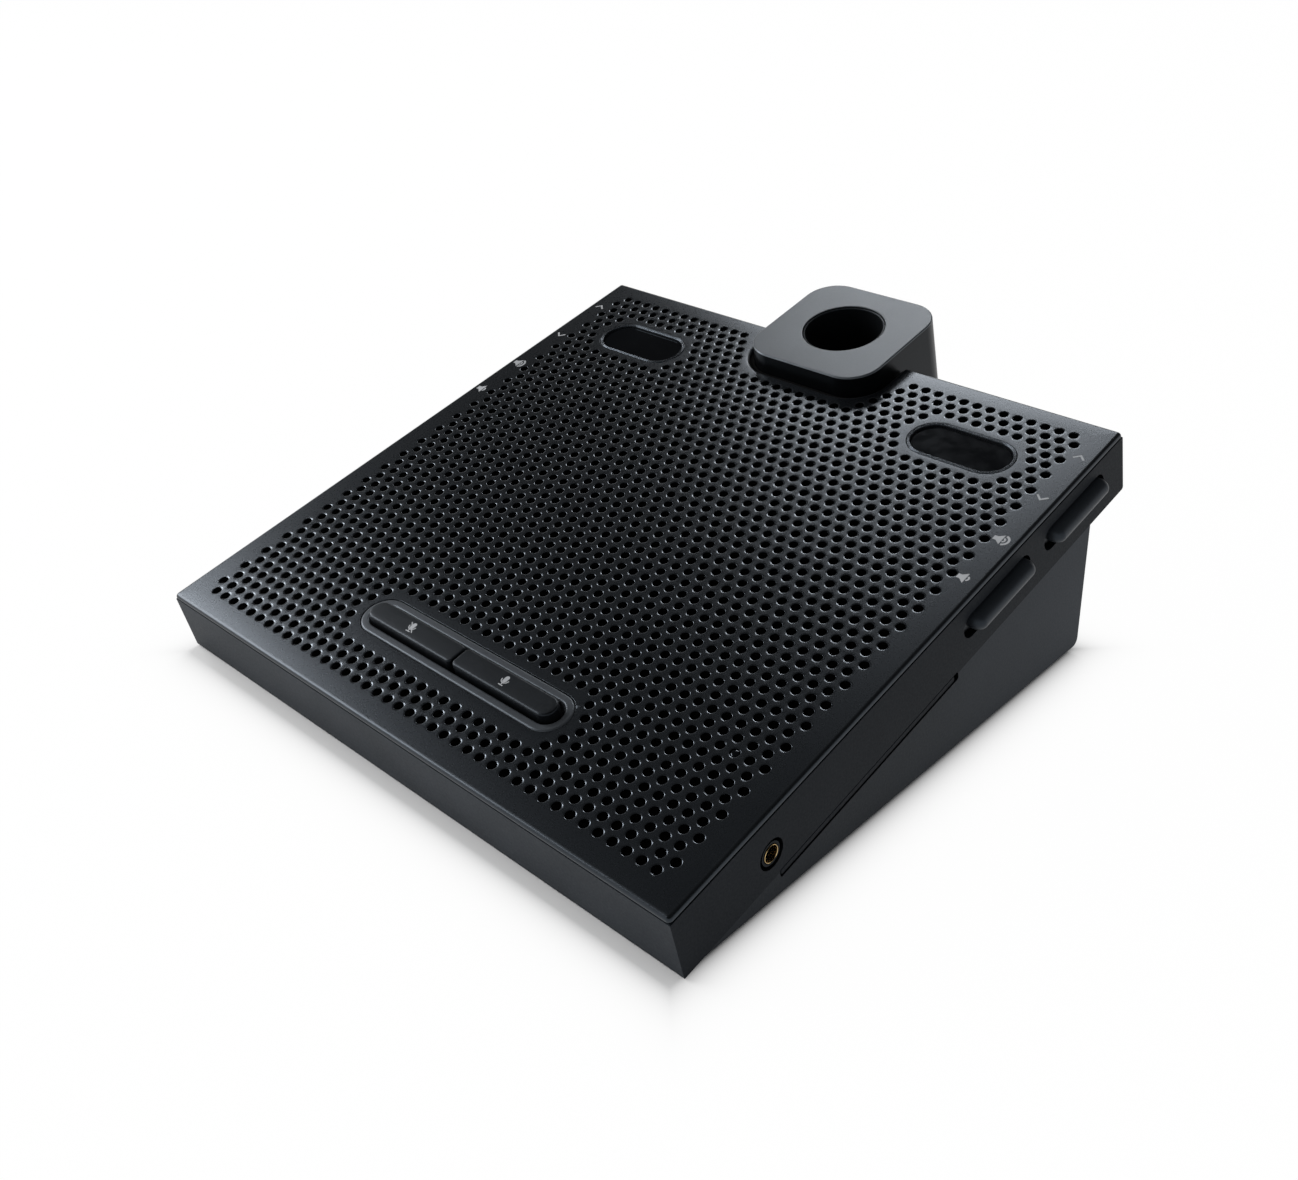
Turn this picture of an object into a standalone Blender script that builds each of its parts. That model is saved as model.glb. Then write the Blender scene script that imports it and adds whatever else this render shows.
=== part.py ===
"""Conference delegate unit: a sloped desk unit with a perforated top, talk and mute buttons and a gooseneck socket.

Frame: metres, +Z up, front edge toward -Y, origin at the middle of the footprint on the desk.
Two empties carry the pieces. "slab" lies in the top plate: its X runs right, its Y up the slope from the
plate's front edge and its Z out of the plate. "base" is level with the underside of the housing.
"""
import math

import bmesh
import bpy
from mathutils import Matrix, Vector
from mathutils.geometry import delaunay_2d_cdt

# Housing and top plate
SLOPE = math.radians(13.45)
PLATE_WIDTH = 0.1490
PLATE_DEPTH = 0.1476
PLATE_THICKNESS = 0.0008
PLATE_CORNER = 0.0016
FRONT_HEIGHT = 0.0136
FRONT_LIP = 0.0012
FRONT_CHAMFER = 0.0009
BASE_UNDERCUT = 0.0140
BASE_CHAMFER_DEPTH = 0.0014
BASE_CHAMFER_HEIGHT = 0.0016
WALL = 0.0022
SEAT_GAP = 0.0003
OVERRUN = 0.0020

# Hole pattern of the plate: a triangular lattice whose rows run across the unit
HOLE_PITCH = 0.0034
HOLE_DIAMETER = 0.0020
REAR_ROW_MARGIN = 0.0059
PIP_ROW = 37
PIP_FROM_SIDE = 0.0133
PATCH_RINGS = 4

# Gooseneck socket block
BLOCK_WIDTH = 0.0361
BLOCK_DEPTH = 0.0355
BLOCK_CORNER = 0.0080
BLOCK_BEHIND_PLATE = 0.0197
BLOCK_RISE = 0.0043
BLOCK_DROP = 0.0210
BLOCK_STEP_BACK = 0.0054
BLOCK_REAR_CHAMFER = 0.0060
BLOCK_GAP_SIDE = 0.0013
BLOCK_GAP_FRONT = 0.0015
BORE_DIAMETER = 0.0202
BORE_DEPTH = 0.0213
BORE_SET_BACK = 0.00065
SLEEVE_WALL = 0.0005
SLEEVE_LENGTH = 0.0140
SLEEVE_PROUD = 0.0001
CORE_HEIGHT = 0.0046
PIN_DIAMETER = 0.0010
PIN_LENGTH = 0.0036
PIN_CIRCLE = 0.0110
PIN_COUNT = 10

# Talk and mute buttons and their bezel
WELL_LENGTH = 0.0602
WELL_WIDTH = 0.0103
WELL_FROM_FRONT = 0.02135
WELL_RIM = 0.00185
WELL_RISE = 0.00015
WELL_POCKET = 0.0040
WELL_FLOOR = 0.0010
WELL_LEG = 0.0026
BUTTON_CLEARANCE = 0.00035
BUTTON_SPLIT = 0.0005
BUTTON_RISE = 0.0020
BUTTON_SKIRT = 0.0030
BUTTON_TRAVEL = 0.0007
BUTTON_EDGE = 0.0009
STEM_LENGTH = 0.0030
STEM_WIDTH = 0.0026
STEM_SPAN = 0.0180
BUTTON_BOARD_DROP = 0.0090
BOARD_THICKNESS = 0.0012
SWITCH_SIZE = 0.0060
SWITCH_HEIGHT = 0.0018

# Display windows
DISPLAY_LENGTH = 0.0255
DISPLAY_WIDTH = 0.0121
DISPLAY_FROM_SIDE = 0.0269
DISPLAY_FROM_REAR = 0.0207
DISPLAY_RIM = 0.0008
DISPLAY_RISE = 0.0001
DISPLAY_BEZEL_DROP = 0.0030
LENS_THICKNESS = 0.0015
LENS_INSET = 0.0005
MODULE_MARGIN = 0.0008
MODULE_THICKNESS = 0.0036

# Layers under the plate
CLOTH_THICKNESS = 0.0004
FRAME_THICKNESS = 0.0020
PIP_INSET = 0.00015
PIP_LENGTH = 0.0060

# Side keys
KEY_LENGTH = 0.0236
KEY_HEIGHT = 0.0045
KEY_BELOW_PLATE = 0.0072
KEY_PROUD = 0.0023
KEY_SLOT_CLEARANCE = 0.00035
KEY_TAIL = 0.0018
KEY_CROWN_INSET = 0.0014
KEY_SHOULDER = 0.0009
CHANNEL_FROM_REAR = 0.02065
VOLUME_FROM_REAR = 0.0506
CARRIER_THICKNESS = 0.0018
CARRIER_HEIGHT = 0.0055
CARRIER_END = 0.0140
LUG_LENGTH = 0.0014
LUG_WIDTH = 0.0030
DOME_OFFSET = 0.0085
DOME_SIZE = 0.0030
DOME_HEIGHT = 0.0004

# Headphone jacks
JACK_FROM_FRONT = 0.0244
JACK_BELOW_PLATE = 0.0093
JACK_RING_DIAMETER = 0.0046
JACK_BORE = 0.0036
JACK_NOSE_DIAMETER = 0.0056
JACK_HOLE = 0.0062
JACK_BODY_LENGTH = 0.0130
JACK_BODY_DEPTH = 0.0090
JACK_BODY_HEIGHT = 0.0064
JACK_RING_LENGTH = 0.0005
JACK_RING_INSET = 0.0004

# Card slot and reader
SLOT_LENGTH = 0.0563
SLOT_HEIGHT = 0.0019
SLOT_FROM_FRONT = 0.0254
SLOT_BELOW_PLATE = 0.0157
BLANK_END_GAP = 0.0012
BLANK_INSET = 0.0002
READER_DEPTH = 0.0400
READER_HEIGHT = 0.0032
READER_MARGIN = 0.0004
READER_SLIT = 0.0010
READER_SLIT_DEPTH = 0.0380

# Loudspeaker
SPEAKER_DIAMETER = 0.0520
SPEAKER_FLANGE = 0.0036
SPEAKER_FLANGE_THICKNESS = 0.0015
SPEAKER_DEPTH = 0.0100
BASKET_THICKNESS = 0.0010
BASKET_NECK = 0.0150
CONE_MOUTH = 0.0210
CONE_DEPTH = 0.0062
CONE_THICKNESS = 0.0006
DUST_CAP = 0.0070
DUST_CAP_RISE = 0.0020
MAGNET_DIAMETER = 0.0300
MAGNET_THICKNESS = 0.0066

# Bottom cover, screws and feet
COVER_THICKNESS = 0.0020
FOOT_DIAMETER = 0.0100
FOOT_PROUD = 0.0014
FOOT_POCKET = 0.0012
FOOT_FROM_SIDE = 0.0202
FOOT_FROM_FRONT = 0.0180
FOOT_FROM_REAR = 0.0140
SCREW_FROM_SIDE = 0.0062
SCREW_FROM_FRONT = 0.0140
SCREW_FROM_REAR = 0.0095
SCREW_DIAMETER = 0.0024
SCREW_HEAD = 0.0052
SCREW_HEAD_HEIGHT = 0.0008
SCREW_LENGTH = 0.0066
SCREW_HEAD_INSET = 0.0001
EAR_SIZE = 0.0080
EAR_HEIGHT = 0.0057

# Main board and network ports
BOARD_LIFT = 0.0050
BOARD_FROM_SIDE = 0.0165
BOARD_DEPTH = 0.0400
BOARD_FROM_REAR = 0.0055
MAIN_BOARD_THICKNESS = 0.0016
STANDOFF_DIAMETER = 0.0050
STANDOFF_MARGIN = 0.0040
PORT_WIDTH = 0.0160
PORT_HEIGHT = 0.0135
PORT_DEPTH = 0.0200
PORT_SPACING = 0.0220
PORT_MOUTH_WIDTH = 0.0120
PORT_MOUTH_HEIGHT = 0.0088
PORT_MOUTH_LIFT = 0.0018
PORT_MOUTH_DEPTH = 0.0150
PORT_WINDOW_MARGIN = 0.0010
CHIP_HEIGHT = 0.0016
CHIP_SIZE = 0.0120
CAPACITOR_DIAMETER = 0.0063
CAPACITOR_HEIGHT = 0.0070

# Shares of the sizes above
PROCESSOR_PLACE_share = (-0.28, -0.10)
AMPLIFIER_PLACE_share = (0.30, -0.10)
CAPACITOR_PLACES_share = ((0.26, 0.25), (0.40, 0.25))
SOUND_WINDOW_WIDTH_share = 0.22
SOUND_WINDOW_DEPTH_share = 0.34
SOUND_WINDOW_PLACE_share = 0.32

# Worked out from the sizes above
ROW_PITCH = HOLE_PITCH * math.sqrt(3.0) / 2.0
SLAB_THICKNESS = (FRONT_HEIGHT + FRONT_LIP) / math.cos(SLOPE)
RIM_LEVEL = -(PLATE_THICKNESS + SEAT_GAP)
HALF_WIDTH = PLATE_WIDTH / 2.0
INNER_HALF_WIDTH = HALF_WIDTH - WALL
CLOTH_TOP = RIM_LEVEL
FRAME_TOP = CLOTH_TOP - CLOTH_THICKNESS - SEAT_GAP
FRAME_BOTTOM = FRAME_TOP - FRAME_THICKNESS
BLOCK_REAR = PLATE_DEPTH + BLOCK_BEHIND_PLATE
BLOCK_FRONT = BLOCK_REAR - BLOCK_DEPTH
BLOCK_MIDDLE = (BLOCK_FRONT + BLOCK_REAR) / 2.0
BORE_MIDDLE = BLOCK_MIDDLE + BORE_SET_BACK
BORE_BOTTOM = BLOCK_RISE - BORE_DEPTH
SPEAKER_ROW = round((PLATE_DEPTH / 2.0 - REAR_ROW_MARGIN) / ROW_PITCH)
SPEAKER_MIDDLE = PLATE_DEPTH - REAR_ROW_MARGIN - SPEAKER_ROW * ROW_PITCH
WELL_BOTTOM = -(WELL_POCKET + WELL_FLOOR)
FLOOR_TOP = -(SLAB_THICKNESS - WALL)
BOARD_WIDTH = PLATE_WIDTH - 2.0 * BOARD_FROM_SIDE


def slab_point(along, out):
    """Level (y, z) of a point of the plate's side view, from the plate's front edge and the housing's underside."""
    y = along * math.cos(SLOPE) - out * math.sin(SLOPE)
    z = FRONT_HEIGHT + along * math.sin(SLOPE) + out * math.cos(SLOPE)
    return y, z


BASE_DEPTH = slab_point(PLATE_DEPTH, -SLAB_THICKNESS)[0] - BASE_UNDERCUT
def out_at(along, level):
    """Distance out of the plate at which a line square to it, from a place along the slope, reaches a level."""
    return (level - FRONT_HEIGHT - along * math.sin(SLOPE)) / math.cos(SLOPE)


FOOTPRINT_FRONT = slab_point(0.0, 0.0)[0]
FOOTPRINT_REAR = slab_point(BLOCK_REAR, BLOCK_REAR_CHAMFER - BLOCK_DROP)[0]
FOOTPRINT_MIDDLE = (FOOTPRINT_FRONT + FOOTPRINT_REAR) / 2.0

CIRCLE_SIDES = 24
SMALL_SIDES = 12
HOLE_SIDES = 6
ARC_STEPS = 6


def material(name, colour, roughness, metallic=0.0):
    """A plain Principled surface."""
    made = bpy.data.materials.new(name)
    made.use_nodes = True
    shader = made.node_tree.nodes["Principled BSDF"]
    shader.inputs["Base Color"].default_value = (*colour, 1.0)
    shader.inputs["Roughness"].default_value = roughness
    shader.inputs["Metallic"].default_value = metallic
    made.diffuse_color = (*colour, 1.0)
    return made


def circle(diameter, sides, centre=(0.0, 0.0)):
    """Loop of points round a centre, anticlockwise."""
    turns = [2.0 * math.pi * k / sides for k in range(sides)]
    return [(centre[0] + diameter / 2.0 * math.cos(a), centre[1] + diameter / 2.0 * math.sin(a)) for a in turns]


def arc(centre, radius, start, end, steps=ARC_STEPS):
    """Points of an arc between two angles given in degrees."""
    angles = [math.radians(start + (end - start) * k / steps) for k in range(steps + 1)]
    return [(centre[0] + radius * math.cos(a), centre[1] + radius * math.sin(a)) for a in angles]


def rounded(width, depth, radius, centre=(0.0, 0.0), steps=ARC_STEPS):
    """Rectangle with rounded corners, anticlockwise."""
    x, y = width / 2.0 - radius, depth / 2.0 - radius
    corners = ((x, y, 0.0), (-x, y, 90.0), (-x, -y, 180.0), (x, -y, 270.0))
    loop = []
    for cx, cy, start in corners:
        loop += arc((centre[0] + cx, centre[1] + cy), radius, start, start + 90.0, steps)
    return loop


def rectangle(width, depth, centre=(0.0, 0.0)):
    """Sharp rectangle, anticlockwise."""
    x, y = width / 2.0, depth / 2.0
    return [(centre[0] + px, centre[1] + py) for px, py in ((x, y), (-x, y), (-x, -y), (x, -y))]


def stadium(length, width, centre=(0.0, 0.0)):
    """Slot shape whose two ends are half circles, long side along the first coordinate."""
    reach = (length - width) / 2.0
    right = arc((centre[0] + reach, centre[1]), width / 2.0, -90.0, 90.0, 2 * ARC_STEPS)
    left = arc((centre[0] - reach, centre[1]), width / 2.0, 90.0, 270.0, 2 * ARC_STEPS)
    return right + left


def plan(u, v, w):
    """Outline lies in X and Y and is extruded along Z."""
    return u, v, w


def side(u, v, w):
    """Outline lies in Y and Z and is extruded along X."""
    return w, u, v


def rear(u, v, w):
    """Outline lies in X and Z and is extruded toward the front, along -Y."""
    return u, -w, v


def new_object(name, mesh, frame, at, look):
    """Object under one of the two empties, with its own material."""
    made = bpy.data.objects.new(name, mesh)
    bpy.context.scene.collection.objects.link(made)
    made.parent = frame
    made.location = at
    if look is not None:
        mesh.materials.append(look)
    return made


def encloses(loop, x, y):
    """Whether a point lies inside a loop."""
    inside = False
    for (ax, ay), (bx, by) in zip(loop, loop[1:] + loop[:1]):
        if (ay > y) != (by > y) and x < ax + (y - ay) * (bx - ax) / (by - ay):
            inside = not inside
    return inside


def sheet_faces(loops):
    """Triangles of the flat region inside the first loop and outside the others."""
    points = [Vector(p) for loop in loops for p in loop]
    edges = []
    first = 0
    for loop in loops:
        count = len(loop)
        edges += [(first + k, first + (k + 1) % count) for k in range(count)]
        first += count
    flat, _, faces = delaunay_2d_cdt(points, edges, [], 1, 0.0)[:3]
    kept = []
    for face in faces:
        x, y = (sum(flat[k][axis] for k in face) / len(face) for axis in (0, 1))
        if encloses(loops[0], x, y) and not any(encloses(hole, x, y) for hole in loops[1:]):
            kept.append(face)
    return flat, kept


def prism(name, loops, low, high, frame, look=None, at=(0.0, 0.0, 0.0), way=plan):
    """Closed prism on an outline, the first loop, with the other loops as holes through it."""
    flat, faces = sheet_faces(loops)
    shape = bmesh.new()
    bottom = [shape.verts.new(way(p.x, p.y, low)) for p in flat]
    top = [shape.verts.new(way(p.x, p.y, high)) for p in flat]
    borders = {}
    for face in faces:
        shape.faces.new([top[k] for k in face])
        shape.faces.new([bottom[k] for k in reversed(face)])
        for k, start in enumerate(face):
            borders[(start, face[(k + 1) % len(face)])] = True
    for start, end in borders:
        if (end, start) not in borders:
            shape.faces.new((top[start], bottom[start], bottom[end], top[end]))
    mesh = bpy.data.meshes.new(name)
    shape.to_mesh(mesh)
    shape.free()
    return new_object(name, mesh, frame, at, look)


def lofted(name, rings, frame, look=None, at=(0.0, 0.0, 0.0)):
    """Closed solid through rings of 3-D points of equal count, capped at both ends; the rings run outward."""
    shape = bmesh.new()
    made = [[shape.verts.new(p) for p in loop] for loop in rings]
    for lower, upper in zip(made, made[1:]):
        for k in range(len(lower)):
            m = (k + 1) % len(lower)
            shape.faces.new((lower[k], lower[m], upper[m], upper[k]))
    shape.faces.new(list(reversed(made[0])))
    shape.faces.new(made[-1])
    bmesh.ops.recalc_face_normals(shape, faces=shape.faces)
    mesh = bpy.data.meshes.new(name)
    shape.to_mesh(mesh)
    shape.free()
    return new_object(name, mesh, frame, at, look)


def turned(name, profile, frame, look, at=(0.0, 0.0, 0.0), sides=CIRCLE_SIDES):
    """Solid of revolution about Z from a closed profile of (radius, height)."""
    shape = bmesh.new()
    rings = []
    for radius, height in profile:
        if radius == 0.0:
            rings.append([shape.verts.new((0.0, 0.0, height))] * sides)
        else:
            rings.append([shape.verts.new((*p, height)) for p in circle(2.0 * radius, sides)])
    for near, far in zip(rings, rings[1:] + rings[:1]):
        for k in range(sides):
            m = (k + 1) % sides
            corners = []
            for vert in (near[k], near[m], far[m], far[k]):
                if vert not in corners:
                    corners.append(vert)
            if len(corners) > 2:
                shape.faces.new(corners)
    bmesh.ops.recalc_face_normals(shape, faces=shape.faces)
    mesh = bpy.data.meshes.new(name)
    shape.to_mesh(mesh)
    shape.free()
    return new_object(name, mesh, frame, at, look)


def group(name, pieces):
    """One tool from several prisms that a single modifier cuts or joins."""
    shape = bmesh.new()
    for piece in pieces:
        piece.data.transform(Matrix.Translation(piece.location))
        shape.from_mesh(piece.data)
    mesh = bpy.data.meshes.new(name)
    shape.to_mesh(mesh)
    shape.free()
    frame = pieces[0].parent
    for piece in pieces:
        bpy.data.objects.remove(piece)
    return new_object(name, mesh, frame, (0.0, 0.0, 0.0), None)


def cut(target, tool, operation="DIFFERENCE"):
    """Boolean modifier whose tool stays as a hidden wire object."""
    tool.hide_render = True
    tool.display_type = "WIRE"
    modifier = target.modifiers.new(tool.name, "BOOLEAN")
    modifier.operation = operation
    modifier.object = tool
    return target


def layer_outline(inset, block_gap_side, block_gap_front, corner):
    """Outline of a layer of the slab, with the notch that the socket block passes through at its rear."""
    x = HALF_WIDTH - inset
    front, back = inset, PLATE_DEPTH - inset
    half = BLOCK_WIDTH / 2.0 + block_gap_side
    step = BLOCK_FRONT - block_gap_front
    radius = BLOCK_CORNER + block_gap_side
    loop = arc((-x + corner, front + corner), corner, 180.0, 270.0, 3)
    loop += arc((x - corner, front + corner), corner, 270.0, 360.0, 3)
    loop += arc((x - corner, back - corner), corner, 0.0, 90.0, 3)
    loop.append((half, back))
    loop += arc((half - radius, step + radius), radius, 0.0, -90.0)
    loop += arc((radius - half, step + radius), radius, 270.0, 180.0)
    loop.append((-half, back))
    return loop + arc((-x + corner, back - corner), corner, 90.0, 180.0, 3)


def lattice_holes():
    """Holes of the plate over the middle of the loudspeaker: rings of the lattice round its centre."""
    holes = []
    for row in range(-PATCH_RINGS, PATCH_RINGS + 1):
        count = 2 * PATCH_RINGS + 1 - abs(row)
        for column in range(count):
            x = (column - (count - 1) / 2.0) * HOLE_PITCH
            holes.append(circle(HOLE_DIAMETER, HOLE_SIDES, (x, SPEAKER_MIDDLE + row * ROW_PITCH)))
    return holes


def window_loops(grow):
    """Openings of a layer for the two display bezels, the button bezel and the light sensor."""
    y = PLATE_DEPTH - DISPLAY_FROM_REAR
    x = HALF_WIDTH - DISPLAY_FROM_SIDE
    loops = [stadium(DISPLAY_LENGTH + 2.0 * grow, DISPLAY_WIDTH + 2.0 * grow, (s * x, y)) for s in (-1, 1)]
    loops.append(stadium(WELL_LENGTH + 2.0 * grow, WELL_WIDTH + 2.0 * grow, (0.0, WELL_FROM_FRONT)))
    return loops


def pip_place():
    """Lattice place of the light sensor."""
    columns = round((HALF_WIDTH - PIP_FROM_SIDE) / HOLE_PITCH)
    return columns * HOLE_PITCH, PLATE_DEPTH - REAR_ROW_MARGIN - PIP_ROW * ROW_PITCH


def build_plate_layers(slab, looks):
    """Perforated plate, acoustic cloth and the frame that carries them."""
    pip = circle(HOLE_DIAMETER, SMALL_SIDES, pip_place())
    plate = [layer_outline(0.0, BLOCK_GAP_SIDE, BLOCK_GAP_FRONT, PLATE_CORNER)]
    plate += window_loops(SEAT_GAP) + lattice_holes() + [pip]
    prism("grille_plate", plate, -PLATE_THICKNESS, 0.0, slab, looks["plate"])
    inset = WALL + SEAT_GAP
    cloth = [layer_outline(inset, SEAT_GAP, SEAT_GAP, PLATE_CORNER)] + window_loops(SEAT_GAP) + [pip]
    prism("acoustic_cloth", cloth, CLOTH_TOP - CLOTH_THICKNESS, CLOTH_TOP, slab, looks["cloth"])
    sound = []
    for s in (-1, 1):
        centre = (s * SOUND_WINDOW_PLACE_share * PLATE_WIDTH, SPEAKER_MIDDLE)
        size = (SOUND_WINDOW_WIDTH_share * PLATE_WIDTH, SOUND_WINDOW_DEPTH_share * PLATE_DEPTH)
        sound.append(rectangle(*size, centre))
    throat = circle(2.0 * CONE_MOUTH, CIRCLE_SIDES, (0.0, SPEAKER_MIDDLE))
    x, y = HALF_WIDTH - DISPLAY_FROM_SIDE, PLATE_DEPTH - DISPLAY_FROM_REAR
    size = (DISPLAY_LENGTH + 2.0 * (MODULE_MARGIN + SEAT_GAP), DISPLAY_WIDTH + 2.0 * (MODULE_MARGIN + SEAT_GAP))
    modules = [rectangle(*size, (s * x, y)) for s in (-1, 1)]
    frame = [layer_outline(inset, SEAT_GAP, SEAT_GAP, PLATE_CORNER)] + modules
    frame += window_loops(SEAT_GAP)[2:] + sound + [throat, pip]
    prism("upper_frame", frame, FRAME_BOTTOM, FRAME_TOP, slab, looks["frame"])
    place = pip_place()
    stem = circle(HOLE_DIAMETER - 2.0 * SEAT_GAP, SMALL_SIDES)
    top = -PIP_INSET
    prism("sensor_pip", [stem], top - PIP_LENGTH, top, slab, looks["pip"], (*place, 0.0))


def build_housing(slab, base, looks):
    """Shell of the slab and the wedge under it, open on top and below."""
    outer = [slab_point(0.0, RIM_LEVEL), slab_point(0.0, FRONT_CHAMFER - SLAB_THICKNESS)]
    outer += [slab_point(FRONT_CHAMFER, -SLAB_THICKNESS), slab_point(FRONT_LIP / math.sin(SLOPE), -SLAB_THICKNESS)]
    outer += [(BASE_DEPTH - BASE_CHAMFER_DEPTH, 0.0), (BASE_DEPTH, BASE_CHAMFER_HEIGHT)]
    under = (BASE_DEPTH - slab_point(0.0, -SLAB_THICKNESS)[0]) * math.tan(SLOPE) - FRONT_LIP
    outer += [(BASE_DEPTH, under), slab_point(PLATE_DEPTH, -SLAB_THICKNESS), slab_point(PLATE_DEPTH, RIM_LEVEL)]
    shell = prism("housing_shell", [outer], -HALF_WIDTH, HALF_WIDTH, base, looks["housing"], way=side)
    inner_rear = BASE_DEPTH - WALL
    floor_here = (inner_rear - slab_point(WALL, FLOOR_TOP)[0]) * math.tan(SLOPE) + slab_point(WALL, FLOOR_TOP)[1]
    cavity = [slab_point(WALL, OVERRUN), slab_point(WALL, out_at(WALL, -OVERRUN)), (inner_rear, -OVERRUN), (inner_rear, floor_here)]
    cavity += [slab_point(PLATE_DEPTH - WALL, FLOOR_TOP), slab_point(PLATE_DEPTH - WALL, OVERRUN)]
    cut(shell, prism("cavity_cutter", [cavity], -INNER_HALF_WIDTH, INNER_HALF_WIDTH, base, way=side))
    far = PLATE_DEPTH + OVERRUN
    notch = BLOCK_WIDTH + 2.0 * SEAT_GAP
    low = BLOCK_FRONT + BLOCK_STEP_BACK - SEAT_GAP
    loop = rectangle(notch, far - low, (0.0, (far + low) / 2.0))
    cut(shell, prism("notch_cutter", [loop], -SLAB_THICKNESS - OVERRUN, OVERRUN, slab))
    wide = HALF_WIDTH + OVERRUN
    grow = 2.0 * KEY_SLOT_CLEARANCE
    for name, from_rear in (("channel", CHANNEL_FROM_REAR), ("volume", VOLUME_FROM_REAR)):
        centre = (PLATE_DEPTH - from_rear, -KEY_BELOW_PLATE)
        loop = stadium(KEY_LENGTH + grow, KEY_HEIGHT + grow, centre)
        cut(shell, prism(name + "_slot_cutter", [loop], -wide, wide, slab, way=side))
    loop = circle(JACK_HOLE, CIRCLE_SIDES, (JACK_FROM_FRONT, -JACK_BELOW_PLATE))
    cut(shell, prism("jack_cutter", [loop], -wide, wide, slab, way=side))
    loop = rectangle(SLOT_LENGTH, SLOT_HEIGHT, (SLOT_FROM_FRONT + SLOT_LENGTH / 2.0, -SLOT_BELOW_PLATE))
    cut(shell, prism("card_slot_cutter", [loop], 0.0, wide, slab, way=side))
    for k, x in enumerate(port_places()):
        size = (PORT_MOUTH_WIDTH + 2.0 * PORT_WINDOW_MARGIN, PORT_MOUTH_HEIGHT + 2.0 * PORT_WINDOW_MARGIN)
        loop = rectangle(*size, (x, port_floor() + PORT_MOUTH_LIFT + PORT_MOUTH_HEIGHT / 2.0))
        tool = prism(f"port_cutter_{k + 1}", [loop], -(BASE_DEPTH + OVERRUN), WALL + OVERRUN - BASE_DEPTH, base, way=rear)
        cut(shell, tool)
    ears = []
    holes = []
    low = COVER_THICKNESS + SEAT_GAP
    for x, y in screw_places():
        near, far = abs(x) - EAR_SIZE / 2.0, INNER_HALF_WIDTH + WALL / 2.0
        loop = rectangle(far - near, EAR_SIZE, (math.copysign((near + far) / 2.0, x), y))
        ears.append(prism("ear", [loop], low, low + EAR_HEIGHT, base))
        loop = circle(SCREW_DIAMETER + 2.0 * SEAT_GAP, SMALL_SIDES, (x, y))
        holes.append(prism("ear_hole", [loop], low - OVERRUN, low + EAR_HEIGHT + OVERRUN, base))
    cut(shell, group("ear_tool", ears), "UNION")
    cut(shell, group("ear_hole_tool", holes))


def screw_places():
    """Centres of the four cover screws."""
    x = INNER_HALF_WIDTH - SCREW_FROM_SIDE
    return [(s * x, y) for s in (-1, 1) for y in (SCREW_FROM_FRONT, BASE_DEPTH - SCREW_FROM_REAR)]


def foot_places():
    """Centres of the four feet."""
    x = HALF_WIDTH - FOOT_FROM_SIDE
    return [(s * x, y) for s in (-1, 1) for y in (FOOT_FROM_FRONT, BASE_DEPTH - FOOT_FROM_REAR)]


def port_places():
    """Middles of the two network ports."""
    return -PORT_SPACING / 2.0, PORT_SPACING / 2.0


def port_floor():
    """Underside of the network ports, just above the main board."""
    return BOARD_LIFT + MAIN_BOARD_THICKNESS + SEAT_GAP


def build_bottom(base, looks):
    """Bottom cover with the posts of the main board, its screws and the rubber feet."""
    front = slab_point(WALL, out_at(WALL, 0.0))[0] + SEAT_GAP
    back = BASE_DEPTH - WALL - SEAT_GAP
    wide = 2.0 * (INNER_HALF_WIDTH - SEAT_GAP)
    loop = rectangle(wide, back - front, (0.0, (front + back) / 2.0))
    shafts = [circle(SCREW_DIAMETER + 2.0 * SEAT_GAP, SMALL_SIDES, p) for p in screw_places()]
    cover = prism("bottom_cover", [loop] + shafts, 0.0, COVER_THICKNESS, base, looks["cover"])
    x, y = BOARD_WIDTH / 2.0 - STANDOFF_MARGIN, BOARD_DEPTH / 2.0 - STANDOFF_MARGIN
    middle = BASE_DEPTH - BOARD_FROM_REAR - BOARD_DEPTH / 2.0
    posts = [prism("post", [circle(STANDOFF_DIAMETER, SMALL_SIDES, (sx * x, middle + sy * y))],
                   COVER_THICKNESS / 2.0, BOARD_LIFT - SEAT_GAP, base) for sx in (-1, 1) for sy in (-1, 1)]
    cut(cover, group("post_tool", posts), "UNION")
    pockets = [prism("pocket", [circle(FOOT_DIAMETER + 2.0 * SEAT_GAP, CIRCLE_SIDES, p)],
                     -OVERRUN, FOOT_POCKET, base) for p in foot_places()]
    cut(cover, group("foot_pocket_tool", pockets))
    depth = SCREW_HEAD_INSET + SCREW_HEAD_HEIGHT + SEAT_GAP
    sinks = [prism("sink", [circle(SCREW_HEAD + 2.0 * SEAT_GAP, SMALL_SIDES, p)],
                   -OVERRUN, depth, base) for p in screw_places()]
    cut(cover, group("screw_head_tool", sinks))
    radius, head = SCREW_DIAMETER / 2.0, SCREW_HEAD / 2.0
    low, neck = SCREW_HEAD_INSET, SCREW_HEAD_INSET + SCREW_HEAD_HEIGHT
    profile = ((0.0, low), (head, low), (head, neck), (radius, neck), (radius, SCREW_LENGTH), (0.0, SCREW_LENGTH))
    for k, place in enumerate(screw_places()):
        turned(f"cover_screw_{k + 1}", profile, base, looks["steel"], (*place, 0.0), SMALL_SIDES)
    high = FOOT_POCKET - SEAT_GAP
    for k, place in enumerate(foot_places()):
        loop = circle(FOOT_DIAMETER, CIRCLE_SIDES)
        prism(f"rubber_foot_{k + 1}", [loop], -FOOT_PROUD, high, base, looks["rubber"], (*place, 0.0))


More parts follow.
